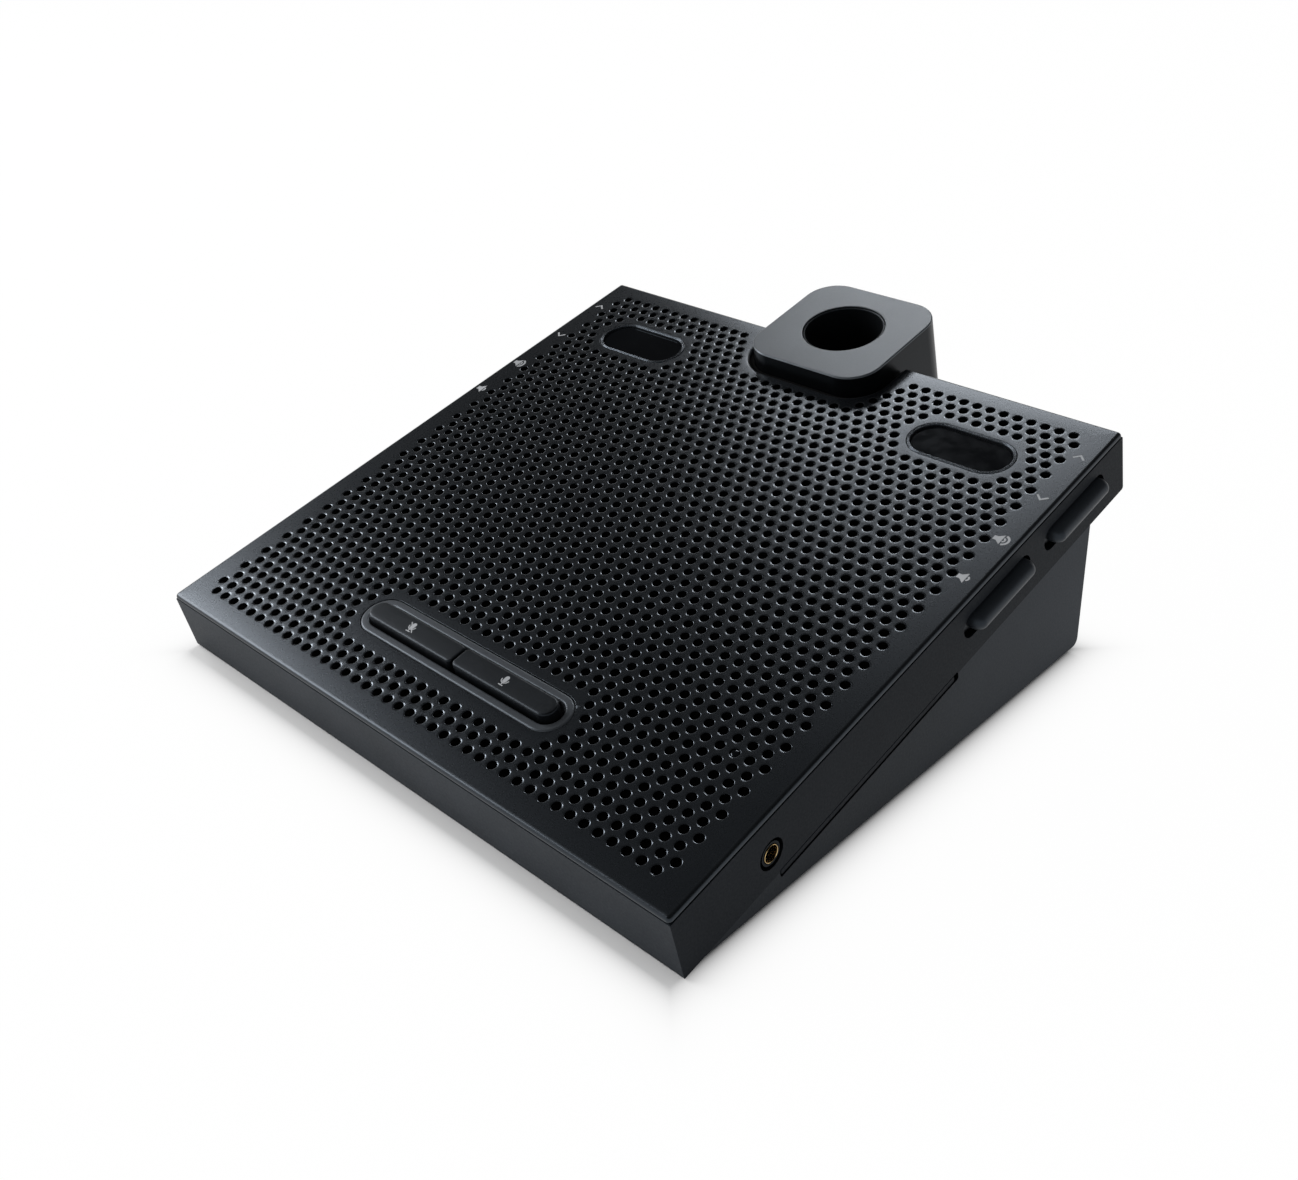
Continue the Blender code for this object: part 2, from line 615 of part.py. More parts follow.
def build_buttons(slab, looks):
    """Bezel, the two buttons, and the board and switches under them."""
    at = (0.0, WELL_FROM_FRONT, 0.0)
    bezel = prism("button_bezel", [stadium(WELL_LENGTH, WELL_WIDTH)], WELL_BOTTOM, WELL_RISE, slab, looks["plate"], at)
    length, width = WELL_LENGTH - 2.0 * WELL_RIM, WELL_WIDTH - 2.0 * WELL_RIM
    tool = prism("well_cutter", [stadium(length, width)], -WELL_POCKET, WELL_RISE + OVERRUN, slab, None, at)
    cut(bezel, tool)
    middle = length / 4.0
    stems = []
    for s in (-1, 1):
        size = (STEM_SPAN + 2.0 * BUTTON_CLEARANCE, STEM_WIDTH + 2.0 * BUTTON_CLEARANCE)
        low = WELL_BOTTOM - OVERRUN
        stems.append(prism("stem", [rectangle(*size, (s * middle, 0.0))], low, 0.0, slab, None, at))
    cut(bezel, group("stem_cutter", stems))
    board_top = -BUTTON_BOARD_DROP
    legs = []
    for s in (-1, 1):
        x = s * (WELL_LENGTH / 2.0 - WELL_LEG)
        high = WELL_BOTTOM + WELL_FLOOR / 2.0
        legs.append(prism("leg", [rectangle(WELL_LEG, WELL_LEG, (x, 0.0))], board_top + SEAT_GAP, high, slab, None, at))
    cut(bezel, group("leg_tool", legs), "UNION")
    key_length, key_width = length - 2.0 * BUTTON_CLEARANCE, width - 2.0 * BUTTON_CLEARANCE
    for name, s in (("mute_button", -1), ("talk_button", 1)):
        origin = (s * middle, WELL_FROM_FRONT, 0.0)
        button = lofted(name, button_rings(s, middle, key_length, key_width), slab, looks["button"], origin)
        loop = rectangle(STEM_SPAN, STEM_WIDTH)
        low = -(BUTTON_SKIRT + STEM_LENGTH)
        cut(button, prism(name + "_stem", [loop], low, BUTTON_EDGE - BUTTON_SKIRT, slab, None, origin), "UNION")
    size = (WELL_LENGTH, WELL_WIDTH)
    prism("button_board", [rectangle(*size)], board_top - BOARD_THICKNESS, board_top, slab, looks["board"], at)
    low = board_top + SEAT_GAP
    for name, s in (("mute_switch", -1), ("talk_switch", 1)):
        loop = rectangle(SWITCH_SIZE, SWITCH_SIZE, (s * middle, 0.0))
        prism(name, [loop], low, low + SWITCH_HEIGHT, slab, looks["steel"], at)


def button_rings(way, middle, length, width):
    """Rings of one button: half of the stadium, with a rounded top edge, about the button's own middle."""
    rings = []
    levels = ((-BUTTON_SKIRT, 0.0), (BUTTON_RISE - BUTTON_EDGE, 0.0))
    levels += tuple((BUTTON_RISE - BUTTON_EDGE * (1.0 - math.sin(a)), BUTTON_EDGE * (1.0 - math.cos(a)))
                    for a in (math.pi / 4.0, math.pi / 2.0))
    for height, inset in levels:
        radius = width / 2.0 - inset
        near = BUTTON_SPLIT / 2.0 + inset - middle
        end = arc((length / 2.0 - width / 2.0 - middle, 0.0), radius, -90.0, 90.0)
        loop = end + [(near, radius), (near, -radius)]
        if way < 0:
            loop = [(-x, y) for x, y in reversed(loop)]
        rings.append([(x, y, height) for x, y in loop])
    return rings


def build_displays(slab, looks):
    """Two display windows: bezel ring, glass and display module."""
    y = PLATE_DEPTH - DISPLAY_FROM_REAR
    for name, s in (("left", -1), ("right", 1)):
        at = (s * (HALF_WIDTH - DISPLAY_FROM_SIDE), y, 0.0)
        opening = (DISPLAY_LENGTH - 2.0 * DISPLAY_RIM, DISPLAY_WIDTH - 2.0 * DISPLAY_RIM)
        ring = [stadium(DISPLAY_LENGTH, DISPLAY_WIDTH), stadium(*opening)]
        prism("display_bezel_" + name, ring, -DISPLAY_BEZEL_DROP, DISPLAY_RISE, slab, looks["steel"], at)
        lens = [stadium(opening[0] - 2.0 * SEAT_GAP, opening[1] - 2.0 * SEAT_GAP)]
        prism("display_lens_" + name, lens, -(LENS_INSET + LENS_THICKNESS), -LENS_INSET, slab, looks["glass"], at)
        body = [rectangle(DISPLAY_LENGTH + 2.0 * MODULE_MARGIN, DISPLAY_WIDTH + 2.0 * MODULE_MARGIN)]
        top = -(DISPLAY_BEZEL_DROP + SEAT_GAP)
        prism("display_module_" + name, body, top - MODULE_THICKNESS, top, slab, looks["module"], at)


def build_side_keys(slab, looks):
    """Four rocker keys in the side walls, each pair before a board with its switch domes and pivot lugs."""
    places = (("channel", PLATE_DEPTH - CHANNEL_FROM_REAR), ("volume", PLATE_DEPTH - VOLUME_FROM_REAR))
    for side_name, s in (("left", -1), ("right", 1)):
        pivot = INNER_HALF_WIDTH
        for key_name, along in places:
            at = (s * pivot, along, -KEY_BELOW_PLATE)
            rings = key_rings(s)
            lofted(f"{key_name}_key_{side_name}", rings, slab, looks["key"], at)
        inner = pivot - KEY_TAIL
        low, high = places[1][1] - CARRIER_END, places[0][1] + CARRIER_END
        top = FRAME_BOTTOM - SEAT_GAP
        face = inner - SEAT_GAP - LUG_LENGTH
        centre = ((low + high) / 2.0, top - CARRIER_HEIGHT / 2.0)
        loop = rectangle(high - low, CARRIER_HEIGHT, centre)
        span = sorted((s * (face - CARRIER_THICKNESS), s * face))
        board = prism("side_switch_board_" + side_name, [loop], *span, slab, looks["board"], way=side)
        lugs = []
        for key_name, along in places:
            loop = rectangle(LUG_WIDTH, KEY_HEIGHT, (along, centre[1]))
            span = sorted((s * (face - CARRIER_THICKNESS / 2.0), s * (face + LUG_LENGTH)))
            lugs.append(prism("lug", [loop], *span, slab, way=side))
            for offset in (-DOME_OFFSET, DOME_OFFSET):
                loop = rectangle(DOME_SIZE, DOME_SIZE, (along + offset, -KEY_BELOW_PLATE))
                span = sorted((s * (face - CARRIER_THICKNESS / 2.0), s * (face + DOME_HEIGHT)))
                lugs.append(prism("dome", [loop], *span, slab, way=side))
        cut(board, group("lug_tool_" + side_name, lugs), "UNION")


def key_rings(s):
    """Rings of a rocker key about its pivot, from its tail to its crowned face."""
    stops = ((-KEY_TAIL, 0.0), (WALL + KEY_PROUD - KEY_CROWN_INSET, 0.0))
    stops += ((WALL + KEY_PROUD - KEY_CROWN_INSET + KEY_SHOULDER, KEY_SHOULDER / 2.0), (WALL + KEY_PROUD, KEY_CROWN_INSET))
    rings = []
    for out, inset in stops:
        loop = stadium(KEY_LENGTH - 2.0 * inset, KEY_HEIGHT - 2.0 * inset)
        if s < 0:
            loop = list(reversed(loop))
        rings.append([(s * out, u, v) for u, v in loop])
    return rings


def build_jacks(slab, looks):
    """Headphone jack in each side wall: body with its nose in the wall's hole, and the bright ring of its mouth."""
    outer = HALF_WIDTH - JACK_RING_INSET
    nose_end = outer - JACK_RING_LENGTH - SEAT_GAP
    for name, s in (("left", -1), ("right", 1)):
        at = (0.0, JACK_FROM_FRONT, -JACK_BELOW_PLATE)
        face = INNER_HALF_WIDTH - SEAT_GAP
        bore = circle(JACK_BORE, SMALL_SIDES)
        span = sorted((s * (face - JACK_BODY_LENGTH), s * face))
        loops = [rectangle(JACK_BODY_DEPTH, JACK_BODY_HEIGHT), bore]
        body = prism("headphone_jack_" + name, loops, *span, slab, looks["dark"], at, side)
        span = sorted((s * (face - OVERRUN), s * nose_end))
        nose = prism("jack_nose_" + name, [circle(JACK_NOSE_DIAMETER, SMALL_SIDES), bore], *span, slab, None, at, side)
        cut(body, nose, "UNION")
        span = sorted((s * (outer - JACK_RING_LENGTH), s * outer))
        loops = [circle(JACK_RING_DIAMETER, CIRCLE_SIDES), circle(JACK_BORE, CIRCLE_SIDES)]
        prism("jack_ring_" + name, loops, *span, slab, looks["gold"], at, side)


def build_card_slot(slab, looks):
    """Card reader behind the right wall and the strip that blanks its slot."""
    at = (0.0, SLOT_FROM_FRONT + SLOT_LENGTH / 2.0, -SLOT_BELOW_PLATE)
    length = SLOT_LENGTH - BLANK_END_GAP - SEAT_GAP
    shift = -(BLANK_END_GAP - SEAT_GAP) / 2.0
    low = INNER_HALF_WIDTH - SEAT_GAP
    loop = rectangle(length, SLOT_HEIGHT - 2.0 * SEAT_GAP, (shift, 0.0))
    prism("card_slot_blank", [loop], low, HALF_WIDTH - BLANK_INSET, slab, looks["housing"], at, side)
    high = low - SEAT_GAP
    loop = rectangle(SLOT_LENGTH + 2.0 * READER_MARGIN, READER_HEIGHT)
    reader = prism("card_reader", [loop], high - READER_DEPTH, high, slab, looks["steel"], at, side)
    loop = rectangle(length, READER_SLIT)
    tool = prism("reader_slit_cutter", [loop], high - READER_SLIT_DEPTH, high + OVERRUN, slab, None, at, side)
    cut(reader, tool)


def build_speaker(slab, looks):
    """Loudspeaker under the middle of the plate: basket, cone and magnet."""
    at = (0.0, SPEAKER_MIDDLE, FRAME_BOTTOM - SEAT_GAP)
    outer = SPEAKER_DIAMETER / 2.0
    rim = outer - SPEAKER_FLANGE
    flange, skin = SPEAKER_FLANGE_THICKNESS, BASKET_THICKNESS
    bottom = -SPEAKER_DEPTH
    profile = ((outer, 0.0), (outer, -flange), (rim + skin, -flange), (BASKET_NECK, bottom), (DUST_CAP, bottom))
    profile += ((DUST_CAP, bottom + skin), (BASKET_NECK - skin, bottom + skin), (rim, -flange), (rim, 0.0))
    turned("speaker_basket", profile, slab, looks["steel"], at)
    mouth = CONE_MOUTH
    top = -SEAT_GAP
    low = top - CONE_DEPTH
    skin = CONE_THICKNESS
    profile = ((0.0, low + DUST_CAP_RISE), (DUST_CAP, low + skin), (mouth, top), (mouth, top - skin))
    profile += ((DUST_CAP, low), (0.0, low))
    turned("speaker_cone", profile, slab, looks["cloth"], at)
    low = bottom - SEAT_GAP
    loop = circle(MAGNET_DIAMETER, CIRCLE_SIDES)
    prism("speaker_magnet", [loop], low - MAGNET_THICKNESS, low, slab, looks["steel"], at)


def build_electronics(base, looks):
    """Main board over the cover's posts, chips and capacitors on it, and the two network ports at the rear wall."""
    back = BASE_DEPTH - BOARD_FROM_REAR
    middle = back - BOARD_DEPTH / 2.0
    low = BOARD_LIFT
    high = low + MAIN_BOARD_THICKNESS
    at = (0.0, middle, 0.0)
    prism("main_board", [rectangle(BOARD_WIDTH, BOARD_DEPTH)], low, high, base, looks["board"], at)
    seat = high + SEAT_GAP
    for name, (px, py) in (("processor_chip", PROCESSOR_PLACE_share), ("amplifier_chip", AMPLIFIER_PLACE_share)):
        loop = rectangle(CHIP_SIZE, CHIP_SIZE, (px * BOARD_WIDTH, py * BOARD_DEPTH))
        prism(name, [loop], seat, seat + CHIP_HEIGHT, base, looks["dark"], at)
    for k, (px, py) in enumerate(CAPACITOR_PLACES_share):
        loop = circle(CAPACITOR_DIAMETER, SMALL_SIDES, (px * BOARD_WIDTH, py * BOARD_DEPTH))
        prism(f"capacitor_{k + 1}", [loop], seat, seat + CAPACITOR_HEIGHT, base, looks["steel"], at)
    face = BASE_DEPTH - WALL - SEAT_GAP
    for k, x in enumerate(port_places()):
        low = port_floor()
        place = (x, 0.0, low)
        loop = rectangle(PORT_WIDTH, PORT_HEIGHT, (0.0, PORT_HEIGHT / 2.0))
        name = f"network_port_{k + 1}"
        port = prism(name, [loop], -face, PORT_DEPTH - face, base, looks["steel"], place, rear)
        loop = rectangle(PORT_MOUTH_WIDTH, PORT_MOUTH_HEIGHT, (0.0, PORT_MOUTH_LIFT + PORT_MOUTH_HEIGHT / 2.0))
        tool = prism(f"port_mouth_{k + 1}", [loop], -face - OVERRUN, PORT_MOUTH_DEPTH - face, base, None, place, rear)
        cut(port, tool)


def build_socket(slab, looks):
    """Block behind the rear edge with the gooseneck's bore, its sleeve, contact block and pins."""
    at = (0.0, BLOCK_MIDDLE, 0.0)
    plan_loop = rounded(BLOCK_WIDTH, BLOCK_DEPTH, BLOCK_CORNER)
    block = prism("socket_block", [plan_loop], -BLOCK_DROP, BLOCK_RISE, slab, looks["block"], at)
    half = BLOCK_DEPTH / 2.0
    wide = BLOCK_WIDTH / 2.0 + OVERRUN
    shelf = FLOOR_TOP + SEAT_GAP
    step = BLOCK_STEP_BACK - half
    loop = [(-half - OVERRUN, shelf), (-half - OVERRUN, -BLOCK_DROP - OVERRUN), (step, -BLOCK_DROP - OVERRUN), (step, shelf)]
    cut(block, prism("block_step_cutter", [loop], -wide, wide, slab, None, at, side))
    rise = BLOCK_REAR_CHAMFER - BLOCK_DROP
    loop = [(half + OVERRUN, rise + OVERRUN), (half - BLOCK_REAR_CHAMFER - OVERRUN, -BLOCK_DROP - OVERRUN)]
    loop.append((half + OVERRUN, -BLOCK_DROP - OVERRUN))
    cut(block, prism("block_chamfer_cutter", [loop], -wide, wide, slab, None, at, side))
    loop = circle(BORE_DIAMETER, CIRCLE_SIDES, (0.0, BORE_SET_BACK))
    cut(block, prism("bore_cutter", [loop], BORE_BOTTOM, BLOCK_RISE + OVERRUN, slab, None, at))
    at = (0.0, BORE_MIDDLE, 0.0)
    outer = BORE_DIAMETER - 2.0 * SEAT_GAP
    loops = [circle(outer, CIRCLE_SIDES), circle(outer - 2.0 * SLEEVE_WALL, CIRCLE_SIDES)]
    top = BLOCK_RISE + SLEEVE_PROUD
    prism("socket_sleeve", loops, top - SLEEVE_LENGTH, top, slab, looks["steel"], at)
    low = BORE_BOTTOM + SEAT_GAP
    high = low + CORE_HEIGHT
    contact = prism("socket_contact_block", [circle(outer, CIRCLE_SIDES)], low, high, slab, looks["dark"], at)
    pins = [prism("pin", [circle(PIN_DIAMETER, HOLE_SIDES, p)], high - PIN_DIAMETER, high + PIN_LENGTH, slab, None, at)
            for p in circle(PIN_CIRCLE, PIN_COUNT)]
    cut(contact, group("pin_tool", pins), "UNION")


def main():
    """Clears the scene and builds every piece."""
    for old in list(bpy.data.objects):
        bpy.data.objects.remove(old)
    base = bpy.data.objects.new("base", None)
    slab = bpy.data.objects.new("slab", None)
    for frame in (base, slab):
        bpy.context.scene.collection.objects.link(frame)
    base.location = (0.0, -FOOTPRINT_MIDDLE, FOOT_PROUD)
    slab.parent = base
    slab.location = (0.0, 0.0, FRONT_HEIGHT)
    slab.rotation_euler = (SLOPE, 0.0, 0.0)
    looks = {
        "plate": material("plate_grey", (0.070, 0.076, 0.086), 0.42, 0.3),
        "housing": material("housing_grey", (0.085, 0.092, 0.105), 0.48),
        "block": material("block_grey", (0.110, 0.117, 0.128), 0.50),
        "cover": material("cover_black", (0.030, 0.032, 0.036), 0.60),
        "cloth": material("cloth_black", (0.006, 0.006, 0.007), 0.95),
        "frame": material("frame_black", (0.018, 0.019, 0.021), 0.65),
        "button": material("button_grey", (0.050, 0.054, 0.061), 0.45),
        "key": material("key_black", (0.030, 0.032, 0.036), 0.50),
        "glass": material("window_glass", (0.010, 0.011, 0.013), 0.08),
        "module": material("module_black", (0.010, 0.010, 0.011), 0.50),
        "pip": material("pip_smoke", (0.020, 0.021, 0.024), 0.20),
        "steel": material("plain_steel", (0.450, 0.460, 0.480), 0.32, 1.0),
        "gold": material("contact_gold", (0.800, 0.580, 0.280), 0.28, 1.0),
        "dark": material("moulded_black", (0.015, 0.015, 0.017), 0.50),
        "rubber": material("foot_rubber", (0.020, 0.020, 0.021), 0.85),
        "board": material("board_green", (0.020, 0.090, 0.045), 0.50),
    }
    bpy.context.view_layer.update()
    build_housing(slab, base, looks)
    build_plate_layers(slab, looks)
    build_bottom(base, looks)
    build_buttons(slab, looks)
    build_displays(slab, looks)
    build_side_keys(slab, looks)
    build_jacks(slab, looks)
    build_card_slot(slab, looks)
    build_speaker(slab, looks)
    build_electronics(base, looks)
    build_socket(slab, looks)


main()
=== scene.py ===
"""Looks of a conference delegate unit: a sloped desk unit with a perforated top, keys and a gooseneck socket.

Metres, +Z up, the front edge toward -Y and the desk at Z = 0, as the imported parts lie. Most pieces are worked
out in the plate's own frame, (across, up the slope, out of the plate), and laid in place as they are made.
"""
import math

import bmesh
import bpy
import numpy as np
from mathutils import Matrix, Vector
from mathutils.geometry import delaunay_2d_cdt


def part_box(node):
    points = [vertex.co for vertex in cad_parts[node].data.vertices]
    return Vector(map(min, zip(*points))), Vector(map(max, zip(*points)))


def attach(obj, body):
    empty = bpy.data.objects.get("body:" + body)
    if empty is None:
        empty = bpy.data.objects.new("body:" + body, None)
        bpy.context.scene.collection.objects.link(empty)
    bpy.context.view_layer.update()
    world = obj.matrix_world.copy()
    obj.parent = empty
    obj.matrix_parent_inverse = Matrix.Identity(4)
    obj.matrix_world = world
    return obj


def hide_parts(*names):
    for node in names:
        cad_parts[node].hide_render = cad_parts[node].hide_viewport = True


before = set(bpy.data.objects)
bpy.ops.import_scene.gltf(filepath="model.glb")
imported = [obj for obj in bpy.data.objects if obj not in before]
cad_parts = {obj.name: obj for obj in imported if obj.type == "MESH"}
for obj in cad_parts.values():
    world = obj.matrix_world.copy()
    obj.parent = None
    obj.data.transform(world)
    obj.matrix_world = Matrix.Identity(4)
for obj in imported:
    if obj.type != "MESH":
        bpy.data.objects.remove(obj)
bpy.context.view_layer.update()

# Where the plate's frame lies
SLOPE = math.radians(13.45)
FRONT_HEIGHT = 0.0136
FOOT_PROUD = 0.0014
FOOTPRINT_MIDDLE = 0.0831002

# Sizes of the housing and its plate
PLATE_WIDTH = 0.1490
PLATE_DEPTH = 0.1476
PLATE_THICKNESS = 0.0008
PLATE_CORNER = 0.0009
PLATE_ROLL = 0.00085
PLATE_SKIRT = 0.0009
CLOTH_THICKNESS = 0.0004
HALF_WIDTH = PLATE_WIDTH / 2.0
FRONT_EASE = 0.0003
FRONT_LIP = 0.0012
SLAB_THICKNESS = (FRONT_HEIGHT + FRONT_LIP) / math.cos(SLOPE)
BASE_BACK = 0.13309
HEEL_EASE = 0.0017
TAIL_EASE = 0.0006
EDGE_BEVEL = 0.00035
WALL = 0.0022
HOLLOW_HALF = HALF_WIDTH - WALL - 0.0010
HOUSING_TOP = -0.0014
SEAT_GAP = 0.0003
OVERRUN = 0.0020
CUT_DEPTH = 0.0045

# Sizes of the hole pattern
HOLE_PITCH = 0.0034
ROW_PITCH = HOLE_PITCH * math.sqrt(3.0) / 2.0
ROW_COUNT = 47
MIDDLE_COLUMN = 20
REAR_ROW = 0.1417
HOLE_RADIUS = 0.00105
HOLE_ROLL = 0.00066
HOLE_LEAN = 26.0
HOLE_FLARE = 0.00030
HOLE_SIDES = 12

# Sizes of the pieces on the plate
WELL_LENGTH = 0.0602
WELL_WIDTH = 0.0101
WELL_MIDDLE = 0.02140
WELL_RIM = 0.00190
WELL_GAP = 0.00015
KEYS_LENGTH = 0.0552
KEYS_WIDTH = 0.0050
KEYS_MIDDLE = 0.02115
KEY_SPLIT = 0.0005
KEY_CORNER = 0.0010
KEY_RISE = 0.0020
KEY_CROWN = 0.00003
KEY_EDGE = 0.0005
KEY_SKIRT = 0.0030
WINDOW_LENGTH = 0.0255
WINDOW_WIDTH = 0.0121
WINDOW_ACROSS = 0.0476
WINDOW_ALONG = 0.1269
WINDOW_RIM = 0.00066
WINDOW_BRINK = 0.00006
PIP_PLACE = (0.0612, 0.0328)
PIP_HOLE = 0.0011
BLOCK_WIDTH = 0.0361
BLOCK_DEPTH = 0.0355
BLOCK_CORNER = 0.0080
BLOCK_MIDDLE = 0.14955
BLOCK_RISE = 0.0043
BLOCK_DROP = 0.0210
BLOCK_STEP = 0.0054
BLOCK_SLANT = 0.0060
BLOCK_EASE = 0.0004
NOTCH_GAPS = (0.0013, 0.0015)
NOTCH_LIP = 0.0009
BORE_MIDDLE = 0.1502
BORE_RADIUS = 0.0101
BORE_DEPTH = 0.0213
BORE_BRINK = 0.00022

# Sizes of the pieces in the walls
SIDES = (("left", -1), ("right", 1))
ROCKER_SLOT = 0.0230
ROCKER_LENGTH = 0.0213
ROCKER_HEIGHT = 0.0041
ROCKER_LEVEL = -0.0072
ROCKER_PROUD = 0.0023
ROCKER_SWELL = 0.0026
ROCKER_GAP = 0.00075
ROCKER_SHIFT = (0.00115, -0.00025)
ROCKER_STEP = 0.0011
ROCKER_TAIL = (0.0236, 0.0045)
ROCKER_PLACES = {"channel": 0.12695, "volume": 0.0970}
JACK_ALONG = 0.0244
JACK_LEVEL = -0.0093
JACK_HOLE = 0.0031
CARD_ALONG = (0.0254, 0.0817)
CARD_LEVEL = -0.0157
CARD_HEIGHT = 0.0019
CARD_CORNER = 0.0006
PORT_ACROSS = (-0.0110, 0.0110)
PORT_WINDOW = (0.0140, 0.0108)
PORT_CORNER = 0.0006
PORT_FACE = -0.0006
PORT_REAR = -0.0225
PORT_MIDDLE = 0.0131

# Sizes of the printed symbols
PRINT_PROUD = 0.00003
PRINT_SUNK = 0.00001
SIGN_ACROSS = 0.0711
SIGN_LINE = 0.00024

ARC_STEP = 7.5
CLOSE = 1e-5


def on_slope(places):
    """Lays (across, up the slope, out of the plate) in the room: a turn by the slope about X, then a lift."""
    across, along, out = np.moveaxis(np.asarray(places, dtype=float), -1, 0)
    back = along * math.cos(SLOPE) - out * math.sin(SLOPE) - FOOTPRINT_MIDDLE
    up = along * math.sin(SLOPE) + out * math.cos(SLOPE) + FRONT_HEIGHT + FOOT_PROUD
    return np.stack((across, back, up), axis=-1)


def on_level(places):
    """Lays (across, back from the front edge, up from the housing's underside) in the room: a plain shift."""
    return np.asarray(places, dtype=float) + (0.0, -FOOTPRINT_MIDDLE, FOOT_PROUD)


def on_wall(side):
    """The way that lays (along the slope, out of the plate, out of the wall) on the left or right wall."""
    def lay(places):
        """Swaps the three numbers into the plate's frame, with the wall's outward way toward its own side."""
        along, level, out = np.moveaxis(np.asarray(places, dtype=float), -1, 0)
        return on_slope(np.stack((side * (HALF_WIDTH + out), along, level), axis=-1))
    return lay


def on_rear(places):
    """Lays (across, up, out of the rear wall) in the room."""
    across, up, out = np.moveaxis(np.asarray(places, dtype=float), -1, 0)
    return on_level(np.stack((across, BASE_BACK + out, up), axis=-1))


# Outlines: points in a plane with the outward way at each, so that an inset moves every point along its way

def rays(turn):
    """Unit ways (cosine, sine) at angles."""
    return np.stack((np.cos(turn), np.sin(turn)), axis=-1)


def all_round(count, start=0.0):
    """So many unit ways round a circle; start is the first one's place, in steps."""
    return rays(2.0 * math.pi * (np.arange(count) + start) / count)


def outline(*arcs):
    """Outline of arcs (middle, middle, radius, first angle, last angle) with straights between; a hollow
    corner has a negative radius. A point is the middle plus the radius times (cosine, sine) of its angle."""
    points = []
    outward = []
    for across, along, radius, first, last in arcs:
        count = max(2, round(abs(last - first) / ARC_STEP) + 1)
        ray = rays(np.radians(np.linspace(first, last, count)))
        points.append(np.array((across, along)) + abs(radius) * ray)
        outward.append(ray * math.copysign(1.0, radius))
    return np.concatenate(points), np.concatenate(outward)


def slot_outline(length, width, across=0.0, along=0.0):
    """Outline with half circles at its two ends."""
    reach = (length - width) / 2.0
    half = width / 2.0
    return outline((across + reach, along, half, -90.0, 90.0), (across - reach, along, half, 90.0, 270.0))


def cushion_outline(width, depth, corner, across=0.0, along=0.0):
    """Rectangle with rounded corners."""
    x = width / 2.0 - corner
    y = depth / 2.0 - corner
    return outline((across + x, along + y, corner, 0.0, 90.0), (across - x, along + y, corner, 90.0, 180.0),
                   (across - x, along - y, corner, 180.0, 270.0),
                   (across + x, along - y, corner, 270.0, 360.0))


def round_outline(radius, across=0.0, along=0.0, count=48):
    """Circle of so many points."""
    ray = all_round(count)
    return np.array((across, along)) + radius * ray, ray


def rows_along(path, profile):
    """Grid of points: each row is the outline moved in by the profile's inset, at the profile's level."""
    points, outward = path
    inset, level = np.array(profile, dtype=float).T
    flat = points[None] - inset[:, None, None] * outward[None]
    high = np.broadcast_to(level[:, None, None], (*flat.shape[:2], 1))
    return np.concatenate((flat, high), axis=2)


def roll(inset, level, radius, first, last, steps=5):
    """Profile points of a rolled edge: inset and level go round an arc of the radius about a middle."""
    turn = np.radians(np.linspace(first, last, steps + 1))
    return list(zip(inset - radius * np.cos(turn), level + radius * np.sin(turn)))


def bands(index, turned_over=False):
    """Quads between neighbouring rows of a table of point numbers (rows, loops, points round)."""
    after = np.roll(index, -1, axis=2)
    quads = np.stack((index[:-1], after[:-1], after[1:], index[1:]), axis=-1).reshape(-1, 4)
    return quads[:, ::-1] if turned_over else quads


def closed(rows):
    """Shape of a grid whose rows run round: quads between the rows and one face over each end."""
    count, round_count = rows.shape[:2]
    index = np.arange(count * round_count).reshape(count, 1, round_count)
    faces = bands(index).tolist()
    faces.append(index[0, 0, ::-1].tolist())
    faces.append(index[-1, 0].tolist())
    return rows.reshape(-1, 3), faces


def ring(rows):
    """Shape of a grid that closes both ways, like a bezel: its last row meets its first again."""
    count, round_count = rows.shape[:2]
    index = np.arange(count * round_count).reshape(count, 1, round_count)
    return rows.reshape(-1, 3), bands(np.concatenate((index, index[:1]))).tolist()


def turned(profile, across=0.0, along=0.0, count=48):
    """Closed shape of a profile of (radius, level) carried round a circle: x and y are the middle plus the
    radius times (cosine, sine)."""
    middle = round_outline(0.0, across, along, count)
    return ring(rows_along(middle, [(-radius, level) for radius, level in profile]))


def laid(shape, way):
    """A shape with its points laid in the room."""
    return way(shape[0]), shape[1]


def stacked(path, profile, way=on_slope):
    """Closed shape of an outline carried along a profile of (inset, level), laid in the room."""
    return laid(closed(rows_along(path, profile)), way)


def joined(*shapes):
    """Several shapes as one."""
    points = []
    faces = []
    first = 0
    for some, theirs in shapes:
        faces += [[first + k for k in face] for face in theirs]
        points.append(some)
        first += len(some)
    return np.concatenate(points), faces


def inside(loop, places):
    """Whether each place lies in a loop: a ray to its right crosses the loop an odd number of times."""
    ax, ay = loop.T[:, :, None]
    bx, by = np.roll(loop, -1, axis=0).T[:, :, None]
    x, y = places.T
    rise = np.where(by == ay, 1.0, by - ay)
    crossed = ((ay > y) != (by > y)) & (x < ax + (y - ay) * (bx - ax) / rise)
    return crossed.sum(axis=0) % 2 == 1


